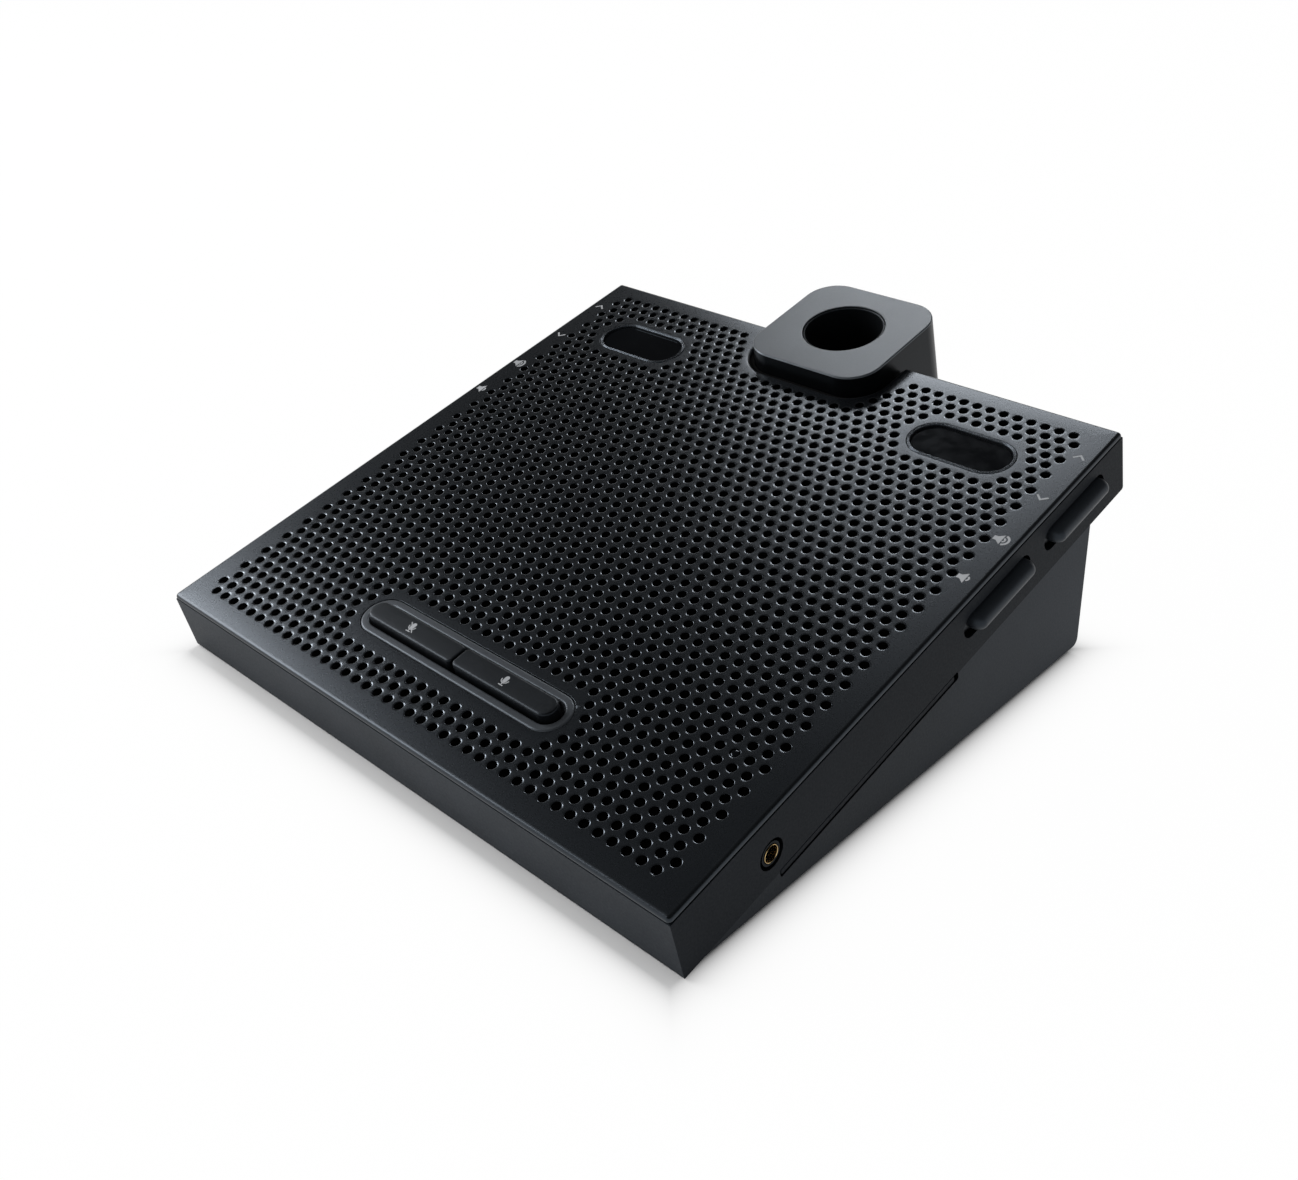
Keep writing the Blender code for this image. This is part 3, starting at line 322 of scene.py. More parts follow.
def sheet_faces(loops, holes=()):
    """Triangles over the flat region in any of the loops and outside the holes, which bulge outward all
    round. A triangle with its three corners on one hole lies in it."""
    every = [*loops, *holes]
    points = np.concatenate(every)
    counts = [len(loop) for loop in every]
    owner = np.repeat(np.arange(len(every)), counts)
    first = np.repeat(np.cumsum([0, *counts[:-1]]), counts)
    number = np.arange(len(points))
    after = first + (number + 1 - first) % np.repeat(counts, counts)
    edges = np.stack((number, after), axis=1).tolist()
    made = delaunay_2d_cdt([Vector(p) for p in points], edges, [], 1, 0.0)
    flat = np.array([tuple(p) for p in made[0]])
    faces = np.array(made[2])
    source = np.array([group[0] if group else -1 for group in made[3]])
    middle = flat[faces].mean(axis=1)
    kept = np.zeros(len(faces), dtype=bool)
    for loop in loops:
        kept |= inside(np.asarray(loop), middle)
    theirs = np.where(source < 0, -1, owner[source])[faces]
    one = (theirs == theirs[:, :1]).all(axis=1) & (theirs[:, 0] >= len(loops))
    faces = faces[kept & ~one]
    a, b, c = np.moveaxis(flat[faces], 1, 0)
    area = (b[:, 0] - a[:, 0]) * (c[:, 1] - a[:, 1]) - (b[:, 1] - a[:, 1]) * (c[:, 0] - a[:, 0])
    faces[area < 0.0] = faces[area < 0.0][:, ::-1]
    return flat, faces, source


def plank(loops, low, high, holes=()):
    """Closed sheet of even thickness over a flat region: its two sides and a wall round every border."""
    flat, faces, _ = sheet_faces(loops, holes)
    count = len(flat)
    level = np.full((count, 1), low)
    points = np.concatenate((np.hstack((flat, level)), np.hstack((flat, level * 0.0 + high))))
    sides = faces[:, [0, 1, 1, 2, 2, 0]].reshape(-1, 2)
    code = sides[:, 0] * count + sides[:, 1]
    border = sides[~np.isin(code, sides[:, 1] * count + sides[:, 0])]
    start, end = border.T
    walls = np.stack((start, end, end + count, start + count), axis=1)
    every = (faces + count).tolist() + faces[:, ::-1].tolist() + walls.tolist()
    return points, every


def prism(loop, low, high, way, order=(2, 0, 1)):
    """Side view carried across from low to high and laid in the room. The order says which of the numbers,
    the side view's two and the place across, come first, second and third in the way."""
    points, faces = plank([np.asarray(loop)], low, high)
    return way(points[:, order]), faces


# Pieces

def new_piece(name, shape, look, stands_for=(), body="housing", crisp=35.0, merge=True,
              ready=True):
    """Mesh of a shape: points that meet are merged, faces turned outward, and shading is smooth up to the
    crisp angle."""
    mesh = bpy.data.meshes.new(name)
    mesh.from_pydata(shape[0].tolist(), [], shape[1])
    if merge:
        work = bmesh.new()
        work.from_mesh(mesh)
        bmesh.ops.remove_doubles(work, verts=work.verts, dist=1e-7)
        bmesh.ops.recalc_face_normals(work, faces=work.faces)
        work.to_mesh(mesh)
        work.free()
    made = bpy.data.objects.new(name, mesh)
    bpy.context.scene.collection.objects.link(made)
    if look is not None:
        mesh.materials.append(look)
    if ready:
        shade(made, crisp)
        dress(made, stands_for, body)
    return made


def shade(piece, crisp=35.0, also=None):
    """Smooth shading with edges over the crisp angle kept, and broad faces ruling the narrow ones by them."""
    mesh = piece.data
    mesh.shade_smooth()
    mesh.set_sharp_from_angle(angle=math.radians(crisp))
    if also is not None:
        sharp = np.zeros(len(mesh.edges), dtype=bool)
        mesh.edges.foreach_get("use_edge_sharp", sharp)
        mesh.edges.foreach_set("use_edge_sharp", sharp | also)
    rule = piece.modifiers.new("broad faces rule", "WEIGHTED_NORMAL")
    rule.keep_sharp = True
    rule.weight = 80


def dress(piece, stands_for, body):
    """Sets the piece on its body's empty and hides the imported parts that it stands for."""
    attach(piece, body)
    if stands_for:
        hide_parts(*stands_for)


def settled(piece):
    """What a piece's modifiers give becomes its own mesh."""
    seen = piece.evaluated_get(bpy.context.evaluated_depsgraph_get())
    made = bpy.data.meshes.new_from_object(seen)
    piece.modifiers.clear()
    piece.data = made


def refinish(piece, kinds, *looks):
    """Gives faces further finishes: kind 0 keeps the piece's own, 1 takes the first of these, and so on."""
    for look in looks:
        piece.data.materials.append(look)
    piece.data.polygons.foreach_set("material_index", np.array(kinds, dtype=np.int32))


def middles(piece):
    """Middles of a piece's faces."""
    return np.array([face.center[:] for face in piece.data.polygons])


def corners(piece):
    """Places of a piece's points."""
    places = np.empty(3 * len(piece.data.vertices))
    piece.data.vertices.foreach_get("co", places)
    return places.reshape(-1, 3)


def carve(piece, *shapes):
    """Cuts shapes out of a piece one after another."""
    tools = []
    for k, shape in enumerate(shapes):
        tool = new_piece(f"tool_{k}", shape, None, ready=False)
        modifier = piece.modifiers.new("carve", "BOOLEAN")
        modifier.object = tool
        modifier.solver = "EXACT"
        tools.append(tool)
    bpy.context.view_layer.update()
    settled(piece)
    for tool in tools:
        bpy.data.objects.remove(tool)


# Nodes of the finishes

def feed(tree, node, sources):
    """Feeds a node's sockets, by name or number: an output is linked and a plain value is set."""
    for key, source in sources.items():
        if isinstance(source, bpy.types.NodeSocket):
            tree.links.new(source, node.inputs[key])
        else:
            node.inputs[key].default_value = source


def add_node(tree, kind, sources, **settings):
    """New node with its settings made and its sockets fed."""
    node = tree.nodes.new("ShaderNode" + kind)
    for name, value in settings.items():
        setattr(node, name, value)
    feed(tree, node, sources)
    return node


def new_look(name):
    """Node material, with its node tree, its shader and the object's own coordinates."""
    look = bpy.data.materials.new(name)
    look.use_nodes = True
    tree = look.node_tree
    return look, tree, tree.nodes["Principled BSDF"], add_node(tree, "TexCoord", {}).outputs["Object"]


def reckoned(tree, operation, *values):
    """One sum on values, each of them an output or a plain number."""
    return add_node(tree, "Math", dict(enumerate(values)), operation=operation).outputs["Value"]


def clouds(tree, places, scale, detail=3.0, stretch=None):
    """Noise of a given fineness, drawn out along one way where stretch says so."""
    if stretch is not None:
        places = add_node(tree, "Mapping", {"Vector": places, "Scale": stretch}).outputs["Vector"]
    return add_node(tree, "TexNoise", {"Vector": places, "Scale": scale, "Detail": detail}).outputs["Fac"]


def spread(tree, value, low, high, start=0.3, end=0.7, **settings):
    """Carries a value from the span of start and end, where noise mostly lies, to the span of low and high."""
    sources = {"Value": value, "From Min": start, "From Max": end, "To Min": low, "To Max": high}
    return add_node(tree, "MapRange", sources, **settings).outputs["Result"]


def tinted(tree, value, dark, light):
    """Colour between two tones by a value."""
    sources = {"Factor": value, "A": (*dark, 1.0), "B": (*light, 1.0)}
    return add_node(tree, "Mix", sources, data_type="RGBA").outputs["Result"]


def raised(tree, shader, value, height):
    """Fine relief on the surface."""
    bump = add_node(tree, "Bump", {"Height": value, "Distance": height, "Strength": 1.0})
    feed(tree, shader, {"Normal": bump.outputs["Normal"]})


def blended(tree, share, plain, bright, output):
    """Shows the plain shader where the share is 0 and the bright one where it is 1."""
    blend = add_node(tree, "MixShader", {"Fac": share, 1: plain, 2: bright})
    feed(tree, tree.nodes[output], {"Surface": blend.outputs["Shader"]})


def seen_straight(tree):
    """1 for what the camera sees and for what gloss and glass show of it, 0 for the light that spreads."""
    path = add_node(tree, "LightPath", {}).outputs
    value = path["Is Camera Ray"]
    for kind in ("Is Glossy Ray", "Is Transmission Ray"):
        value = reckoned(tree, "MAXIMUM", value, path[kind])
    return value


# Finishes

COOL_TINT = (0.71, 0.84, 1.0)
BLOCK_TINT = (0.78, 0.88, 1.0)
# Two places along Y between which the lower walls' tone is painted lighter toward the rear, as painted reflected
# light
WALL_PAINTED_LIGHT = (-0.030, 0.055)
CLOUD_SCALE = 70.0


def coated(name, dark, light, gloss, grain, relief, specular=0.5, tint=COOL_TINT, painted_light_span=None):
    """Moulded or painted finish: tone and gloss wander in broad clouds and a fine grain lifts the surface.
    Given a span along Y, the tone goes from dark to light between its two places as painted reflected light,
    and the clouds hardly show."""
    look, tree, shader, places = new_look(name)
    fine = clouds(tree, places, grain, 2.0)
    share = spread(tree, clouds(tree, places, CLOUD_SCALE), 0.0, 1.0)
    # Painted reflected light: the tone brightens along Y toward the rear
    if painted_light_span is not None:
        back = add_node(tree, "SeparateXYZ", {"Vector": places}).outputs["Y"]
        faint = reckoned(tree, "MULTIPLY", share, 0.15)
        share = reckoned(tree, "ADD", faint, spread(tree, back, 0.0, 1.0, *painted_light_span))
    tone = tinted(tree, share, dark, light)
    feed(tree, shader, {"Base Color": tone, "Roughness": spread(tree, fine, *gloss),
                        "Specular IOR Level": specular, "Specular Tint": (*tint, 1.0)})
    raised(tree, shader, fine, relief)
    return look


def polished(name, dark, light, gloss, stretch):
    """Bare metal with fine drawn lines."""
    look, tree, shader, places = new_look(name)
    lines = clouds(tree, places, 900.0, 4.0, stretch)
    tone = tinted(tree, spread(tree, lines, 0.0, 1.0), dark, light)
    feed(tree, shader, {"Base Color": tone, "Roughness": spread(tree, lines, *gloss), "Metallic": 1.0})
    raised(tree, shader, lines, 4e-6)
    return look


def woven(name, dark, light, thread):
    """Black acoustic cloth: two crossed waves, one over the other, lift the threads and tint them."""
    look, tree, shader, places = new_look(name)
    sources = {"Vector": places, "Scale": thread}
    waves = [add_node(tree, "TexWave", sources, bands_direction=axis).outputs["Fac"] for axis in ("X", "Y")]
    weave = reckoned(tree, "MAXIMUM", *waves)
    tone = tinted(tree, weave, dark, light)
    feed(tree, shader, {"Base Color": tone, "Roughness": 0.95, "Specular IOR Level": 0.1})
    raised(tree, shader, weave, 8e-5)
    return look


def make_looks():
    """Every finish of the unit: its dark and light tone, the span of its gloss, the fineness of its grain, the
    grain's height, and how strongly it shines."""
    return {
        "plate": coated("grille_paint", (0.0018, 0.0021, 0.0025), (0.0028, 0.0032, 0.0037), (0.27, 0.29),
                        2600.0, 3e-7, 0.76),
        # Hole rims: glossier than the plate, and painted lighter as a painted highlight
        "rim": coated("hole_rim_painted_highlight", (0.004, 0.0045, 0.0052), (0.008, 0.0088, 0.0098), (0.20, 0.24),
                      2600.0, 3e-7, 0.86),
        # Rolled border of the plate: duller than the plate, and painted lighter as a painted highlight along the
        # edge
        "fold": coated("plate_fold_painted_highlight", (0.005, 0.0056, 0.0063), (0.0075, 0.0083, 0.0093), (0.28, 0.33),
                       2600.0, 3e-7, 0.48),
        "housing": coated("housing_texture", (0.0085, 0.0105, 0.0135), (0.0112, 0.0137, 0.0172), (0.44, 0.58),
                          2200.0, 1e-5, 0.05),
        # Lower walls: toward the rear their tone is painted lighter, a painted reflection of the bright floor
        "base": coated("lower_half_painted_light", (0.0098, 0.0122, 0.0155), (0.0375, 0.044, 0.053), (0.46, 0.56),
                       2200.0, 1e-5, 0.09, painted_light_span=WALL_PAINTED_LIGHT),
        # Front face: a copy of the housing's finish painted lighter, as painted light falling on the front
        "front": coated("front_face_painted_light", (0.0186, 0.0222, 0.027), (0.0262, 0.0309, 0.0372), (0.44, 0.54),
                        2200.0, 1e-5, 0.085),
        "block": coated("block_satin", (0.026, 0.028, 0.0305), (0.034, 0.0362, 0.039), (0.36, 0.44),
                        2600.0, 5e-6, 0.92, BLOCK_TINT),
        # Sides of the socket block: painted near black, far darker than its top, as painted shade
        "block side": coated("block_side_painted_shade", (0.0014, 0.0016, 0.0019), (0.0022, 0.0025, 0.0029), (0.30, 0.38),
                             2400.0, 4e-6, 0.12),
        # Recess finish: bores, slot tails and the sides of wall openings are painted near black as painted shade
        "bore": coated("recess_painted_shade", (0.001, 0.0011, 0.0013), (0.0018, 0.002, 0.0023), (0.36, 0.46),
                       1800.0, 6e-6, 0.35),
        "trim": coated("trim_gloss", (0.008, 0.0089, 0.01), (0.012, 0.0132, 0.0147), (0.24, 0.30),
                       2600.0, 2e-6, 0.95),
        # Key well's bezel: painted much lighter than the plate, as painted light on its raised rim
        "bezel": coated("bezel_painted_light", (0.033, 0.0361, 0.0401), (0.041, 0.0447, 0.0494), (0.34, 0.42),
                        2600.0, 4e-6, 0.54),
        "key": coated("key_satin", (0.0018, 0.0021, 0.0025), (0.0034, 0.0039, 0.0045), (0.34, 0.42),
                      2400.0, 5e-6, 0.33),
        "rocker": coated("rocker_matt", (0.015, 0.0178, 0.0215), (0.019, 0.0224, 0.027), (0.40, 0.48),
                         2400.0, 3e-6, 0.32),
        "print": coated("pale_print", (0.30, 0.308, 0.318), (0.38, 0.388, 0.398), (0.50, 0.65), 3000.0, 4e-6),
        "glass": coated("window_glass", (0.0018, 0.002, 0.0024), (0.0032, 0.0036, 0.0042), (0.06, 0.10),
                        400.0, 5e-7),
        "black": coated("moulded_black", (0.003, 0.0032, 0.0036), (0.0055, 0.006, 0.0066), (0.48, 0.60),
                        2400.0, 1e-5),
        "cover": coated("cover_texture", (0.007, 0.0078, 0.009), (0.0105, 0.0115, 0.013), (0.55, 0.70),
                        1600.0, 3e-5),
        "rubber": coated("foot_rubber", (0.006, 0.0062, 0.0066), (0.011, 0.0112, 0.0118), (0.75, 0.90),
                         1800.0, 3e-5),
        "board": coated("board_lacquer", (0.010, 0.055, 0.026), (0.018, 0.085, 0.042), (0.30, 0.42),
                        900.0, 1e-5),
        "cone": coated("cone_paper", (0.006, 0.006, 0.0062), (0.014, 0.014, 0.014), (0.80, 0.95),
                       1200.0, 4e-5),
        "steel": polished("drawn_steel", (0.36, 0.37, 0.385), (0.52, 0.53, 0.545), (0.26, 0.38),
                          (1.0, 0.05, 1.0)),
        "gold": polished("ring_gold", (0.68, 0.46, 0.20), (0.86, 0.64, 0.32), (0.20, 0.32), (1.0, 1.0, 0.08)),
        "cloth": woven("acoustic_weave", (0.0006, 0.0006, 0.0007), (0.0022, 0.0022, 0.0024), 900.0),
    }


# The plate and what lies in it

def plate_outline(inset=0.0, gaps=NOTCH_GAPS, corner=PLATE_CORNER):
    """Outline of a layer with the notch that the socket block passes through at its rear, with gaps at the
    block's sides and before it."""
    x = HALF_WIDTH - inset - corner
    front = inset + corner
    back = PLATE_DEPTH - inset - corner
    half = BLOCK_WIDTH / 2.0 + gaps[0]
    hollow = BLOCK_CORNER + gaps[0]
    nook = BLOCK_MIDDLE - BLOCK_DEPTH / 2.0 - gaps[1] + hollow
    tip = half + NOTCH_LIP
    edge = PLATE_DEPTH - inset - NOTCH_LIP
    return outline((-x, front, corner, 180.0, 270.0), (x, front, corner, 270.0, 360.0),
                   (x, back, corner, 0.0, 90.0), (tip, edge, NOTCH_LIP, 90.0, 180.0),
                   (half - hollow, nook, -hollow, 0.0, -90.0), (hollow - half, nook, -hollow, 270.0, 180.0),
                   (-tip, edge, NOTCH_LIP, 0.0, 90.0), (-x, back, corner, 90.0, 180.0))


def lattice():
    """Middles of the plate's holes: every other row is moved by half a pitch, and none lies under a piece. A
    bare stretch is (row, middle, reach), counted in holes from the rear row and the middle column."""
    columns = np.arange(-MIDDLE_COLUMN, MIDDLE_COLUMN + 1)
    row, column = np.meshgrid(np.arange(ROW_COUNT), columns, indexing="ij")
    column = column + np.where(row % 2 == 0, 0.5, 0.0)
    bare = [(k, 0.0, 6.5 - k / 2.0) for k in range(5)]
    for k in range(-2, 3):
        bare += [(41 + k, 0.0, 9.0 - abs(k) / 2.0)]
        bare += [(5 + k, middle, 4.0 - abs(k) / 2.0) for middle in (-14.0, 14.0)]
    kept = column <= MIDDLE_COLUMN
    for place, middle, reach in bare:
        kept &= ~((row == place) & (np.abs(column - middle) <= reach))
    return np.stack((column[kept] * HOLE_PITCH, REAR_ROW - row[kept] * ROW_PITCH), axis=1)


def window_outlines(grow):
    """Outlines of the two display windows and of the keys' well, grown by a gap."""
    gap = 2.0 * grow
    made = [slot_outline(WINDOW_LENGTH + gap, WINDOW_WIDTH + gap, side * WINDOW_ACROSS, WINDOW_ALONG)
            for _, side in SIDES]
    made.append(slot_outline(WELL_LENGTH + gap, WELL_WIDTH + gap, 0.0, WELL_MIDDLE))
    return made


def hole_grid(profile):
    """Rows of every hole at once: a point is its hole's middle plus the row's radius times (cosine, sine)."""
    inset, high = np.array(profile).T[:, :, None, None, None]
    flat = lattice()[None, :, None] + (HOLE_RADIUS - inset) * all_round(HOLE_SIDES, 0.5)
    return np.concatenate((flat, np.broadcast_to(high, (*flat.shape[:3], 1))), axis=3)


def make_grille_plate(looks):
    """Perforated plate: a flat sheet whose border rolls over into a skirt and whose holes have rolled rims and
    open out below. The first and last rows of every border and hole bound its two flat sides."""
    under = -PLATE_THICKNESS
    border = roll(PLATE_ROLL, -PLATE_ROLL, PLATE_ROLL, 90.0, 0.0)
    border += [(0.0, -PLATE_SKIRT), (PLATE_ROLL, -PLATE_SKIRT), (PLATE_ROLL, under)]
    third = WINDOW_BRINK / 3.0
    brink = [(-WINDOW_BRINK, 0.0), (-third, -third), (0.0, -WINDOW_BRINK), (0.0, under)]
    lean = np.radians(np.linspace(0.0, HOLE_LEAN, 3))
    rim = list(zip(HOLE_ROLL * (np.sin(lean) - math.sin(lean[-1])), HOLE_ROLL * (np.cos(lean) - 1.0)))
    windows = [rows_along(path, brink)[:, None] for path in window_outlines(WELL_GAP)]
    holes = hole_grid(rim + [(-HOLE_FLARE, under)])
    groups = [rows_along(plate_outline(), border)[:, None], *windows, holes]
    points = np.concatenate([rows.reshape(-1, 3) for rows in groups])
    starts = np.cumsum([rows.size // 3 for rows in groups])[:-1]
    parted = np.split(np.arange(len(points)), starts)
    index = [part.reshape(rows.shape[:3]) for part, rows in zip(parted, groups)]
    walls = [bands(part, part is index[0]) for part in index]
    top = np.concatenate([part[0].ravel() for part in index])
    bottom = np.concatenate([part[-1].ravel() for part in index])
    openings = [rows[0, 0, :, :2] for rows in windows] + list(holes[0, :, :, :2])
    _, sheet, source = sheet_faces([groups[0][0, 0, :, :2]], openings)
    sheet = source[sheet]
    faces = np.concatenate(walls).tolist() + top[sheet].tolist() + bottom[sheet][:, ::-1].tolist()
    plate = new_piece("perforated_plate", (on_slope(points), faces), looks["plate"], ("grille_plate",),
                      crisp=45.0, merge=False)
    kinds = np.zeros(len(faces))
    first = sum(len(wall) for wall in walls[:-1])
    # The holes' rims take a lighter tone than the plate, a painted highlight
    kinds[first:first + (len(rim) - 1) * holes[0].size // 3] = 1
    # The rolled border and skirt take a lighter tone than the plate, a painted highlight along the edge
    kinds[:len(walls[0])] = 2
    refinish(plate, kinds, looks["rim"], looks["fold"])


def make_cloth(looks):
    """Acoustic cloth stretched under the plate."""
    inset = WALL + SEAT_GAP
    loop = plate_outline(inset, (SEAT_GAP, SEAT_GAP))[0]
    holes = [path[0] for path in window_outlines(SEAT_GAP)]
    holes.append(round_outline(PIP_HOLE, *PIP_PLACE, 12)[0])
    top = -(PLATE_THICKNESS + SEAT_GAP)
    shape = laid(plank([loop], top - CLOTH_THICKNESS, top, holes), on_slope)
    cloth = new_piece("stretched_cloth", shape, looks["cloth"], ("acoustic_cloth",))


def make_well(looks):
    """Bezel of the two keys: a rolled rim round a sunken floor."""
    rise, edge = 0.00015, 0.0005
    floor, foot = -0.0040, -0.0050
    profile = [(0.0, foot)] + roll(edge, rise - edge, edge, 0.0, 90.0)
    profile += roll(WELL_RIM - edge, rise - edge, edge, 90.0, 180.0) + [(WELL_RIM, floor)]
    shape = stacked(slot_outline(WELL_LENGTH, WELL_WIDTH, 0.0, WELL_MIDDLE), profile)
    # The bezel's lighter tone is painted light on the raised rim
    new_piece("key_well", shape, looks["bezel"], ("button_bezel",))


def key_outline(side):
    """Half of the keys' slot shape: a round outer end and two small corners at the split, where an inset moves
    the key's end in by only a share."""
    half = KEYS_WIDTH / 2.0
    near = KEY_SPLIT / 2.0 + KEY_CORNER
    points, outward = outline((KEYS_LENGTH / 2.0 - half, 0.0, half, -90.0, 90.0),
                              (near, half - KEY_CORNER, KEY_CORNER, 90.0, 180.0),
                              (near, KEY_CORNER - half, KEY_CORNER, 180.0, 270.0))
    at_split = outward[:, :1] < -1e-9
    outward = np.where(at_split, outward * (0.35, 1.0), outward)
    points = points + (0.0, KEYS_MIDDLE)
    if side < 0:
        points = points[::-1] * (-1.0, 1.0)
        outward = outward[::-1] * (-1.0, 1.0)
    return points, outward


def make_keys(looks):
    """Mute and talk keys, each a half slot shape with a rolled top edge and a faint crown."""
    shoulder, flat = 0.0005, 0.0011
    profile = [(0.0, -KEY_SKIRT)] + roll(KEY_EDGE, KEY_RISE - KEY_EDGE, KEY_EDGE, 0.0, 90.0, 6)
    profile += [(KEY_EDGE + shoulder, KEY_RISE + KEY_CROWN * 2.0 / 3.0), (KEY_EDGE + flat, KEY_RISE + KEY_CROWN)]
    for name, side in (("mute", -1), ("talk", 1)):
        shape = stacked(key_outline(side), profile)
        body = name + "_button"
        new_piece(name + "_key", shape, looks["key"], (body,), body)


def make_windows(looks):
    """Display windows: a trim of two fine ridges round dark glass."""
    deep, rise, ridge = -0.0030, 0.0001, 0.00015
    trim = [(0.0, deep)] + roll(ridge, rise - ridge, ridge, 0.0, 180.0, 6)
    trim += roll(WINDOW_RIM - ridge, rise - ridge, ridge, 0.0, 180.0, 6) + [(WINDOW_RIM, deep)]
    inset = WINDOW_RIM + SEAT_GAP
    foot, face, ease = -0.0020, -0.0005, 0.0001
    glass = [(inset, foot), (inset, face - ease), (inset + ease, face)]
    for name, side in SIDES:
        path = slot_outline(WINDOW_LENGTH, WINDOW_WIDTH, side * WINDOW_ACROSS, WINDOW_ALONG)
        shape = laid(ring(rows_along(path, trim)), on_slope)
        node = "display_bezel_" + name
        new_piece("window_trim_" + name, shape, looks["trim"], (node,))
        node = "display_lens_" + name
        new_piece("window_glass_" + name, stacked(path, glass), looks["glass"], (node,))


def make_pip(looks):
    """Smoked cap of the light sensor, domed a little, in its own hole of the plate."""
    reach, foot, brim, rise = 0.0008, -0.0060, -0.0002, 0.00015
    turn = np.radians(np.linspace(0.0, 90.0, 6))
    dome = list(zip(reach * np.cos(turn), brim + rise * np.sin(turn)))
    shape = laid(turned([(0.0, foot), (reach, foot)] + dome, *PIP_PLACE, 24), on_slope)
    new_piece("sensor_cap", shape, looks["glass"], ("sensor_pip",))


# The housing and what lies in its walls

def side_point(along, out):
    """(back, up) of a point of the plate's side view."""
    back = along * math.cos(SLOPE) - out * math.sin(SLOPE)
    up = FRONT_HEIGHT + along * math.sin(SLOPE) + out * math.cos(SLOPE)
    return back, up


SLAB_FOOT = side_point(0.0, -SLAB_THICKNESS)
SLAB_LIP = side_point(FRONT_LIP / math.sin(SLOPE), -SLAB_THICKNESS)


def eased(before, corner, after, radius, steps=5):
    """Arc that replaces a corner: it touches both sides, and its middle halves the corner."""
    before, corner, after = (np.array(p, dtype=float) for p in (before, corner, after))
    one = (before - corner) / np.linalg.norm(before - corner)
    two = (after - corner) / np.linalg.norm(after - corner)
    half = math.acos(np.clip(one @ two, -1.0, 1.0)) / 2.0
    reach = radius / math.tan(half)
    middle = corner + (one + two) / np.linalg.norm(one + two) * radius / math.sin(half)
    start = corner + one * reach - middle
    end = corner + two * reach - middle
    share = np.linspace(0.0, 1.0, steps + 1)[:, None]
    turn = math.pi - 2.0 * half
    return middle + (np.sin((1.0 - share) * turn) * start + np.sin(share * turn) * end) / math.sin(turn)


def under_slab(places):
    """How far each place lies under the slab's lower face, which meets the side walls at their crease."""
    _, back, up = (places - on_level((0.0, *SLAB_FOOT))).T
    return back * math.tan(SLOPE) - up


def housing_shape():
    """Side view of the slab and the wedge under it, carried across the unit. Each side wall is two faces, which
    meet at the crease."""
    top_front = side_point(0.0, HOUSING_TOP)
    top_rear = side_point(PLATE_DEPTH, HOUSING_TOP)
    under = (BASE_BACK, SLAB_FOOT[1] + (BASE_BACK - SLAB_FOOT[0]) * math.tan(SLOPE))
    front = eased(top_front, SLAB_FOOT, SLAB_LIP, FRONT_EASE)
    heel = eased(SLAB_LIP, (BASE_BACK, 0.0), under, HEEL_EASE)
    tail = eased(under, side_point(PLATE_DEPTH, -SLAB_THICKNESS), top_rear, TAIL_EASE, 3)
    loop = np.concatenate(([top_front], front, [SLAB_LIP], heel, [under], tail, [top_rear]))
    count = len(loop)
    wedge = [len(front) + 1 + k for k in range(len(heel) + 2)]
    slab = [k for k in range(count) if k not in wedge[1:-1]]
    faces = bands(np.arange(2 * count).reshape(2, 1, count)).tolist()
    faces += [[first + k for k in part] for first in (0, count) for part in (wedge, slab)]
    points = [np.column_stack((np.full(count, x), loop)) for x in (-HALF_WIDTH, HALF_WIDTH)]
    return laid((np.concatenate(points), faces), on_level)


def make_housing(looks):
    """Shell of the slab and the wedge. Under the slab the walls have the finer finish of the lower half, with
    its tone painted lighter toward the rear as reflected light; the front face has its own, painted lighter
    than the walls as light falling on it; and the sides of the openings in the side walls are painted black
    as shade."""
    shell = new_piece("housing_body", housing_shape(), looks["housing"], ready=False)
    bevel = shell.modifiers.new("edges", "BEVEL")
    bevel.width = EDGE_BEVEL
    bevel.segments = 3
    bevel.limit_method = "ANGLE"
    bevel.angle_limit = math.radians(40.0)
    carve(shell, *housing_openings())
    carve(shell, *wall_openings())
    edges = np.array([edge.vertices[:] for edge in shell.data.edges])
    places = corners(shell)
    on_crease = (np.abs(under_slab(places)) < CLOSE) & (np.abs(places[:, 0]) > HALF_WIDTH - CLOSE)
    shade(shell, also=on_crease[edges].all(axis=1))
    skin, flush, cut, nose = 0.0004, 0.0005, 0.0012, 0.0010
    faces = middles(shell)
    depth = HALF_WIDTH - np.abs(faces[:, 0])
    outer = (depth < skin) | (faces[:, 1] > BASE_BACK - FOOTPRINT_MIDDLE - skin)
    lower = under_slab(faces)
    # Lower walls take the finish whose tone is painted lighter toward the rear, as painted reflected light
    kinds = np.where((lower > CLOSE) & outer, 1, 0)
    # The front face takes a lighter copy of the housing's finish, as painted light
    ahead = faces[:, 1] < SLAB_LIP[0] - FOOTPRINT_MIDDLE - nose
    kinds[(faces[:, 2] < FRONT_HEIGHT + FOOT_PROUD) & ahead] = 2
    # The sides of the wall openings are painted near black, as painted shade in the recesses
    under_rim = lower > SEAT_GAP - (SLAB_THICKNESS + HOUSING_TOP)
    kinds[(depth > flush) & (depth < WALL + cut) & under_rim] = 3
    refinish(shell, kinds, looks["base"], looks["front"], looks["bore"])
    dress(shell, ("housing_shell",), "housing")


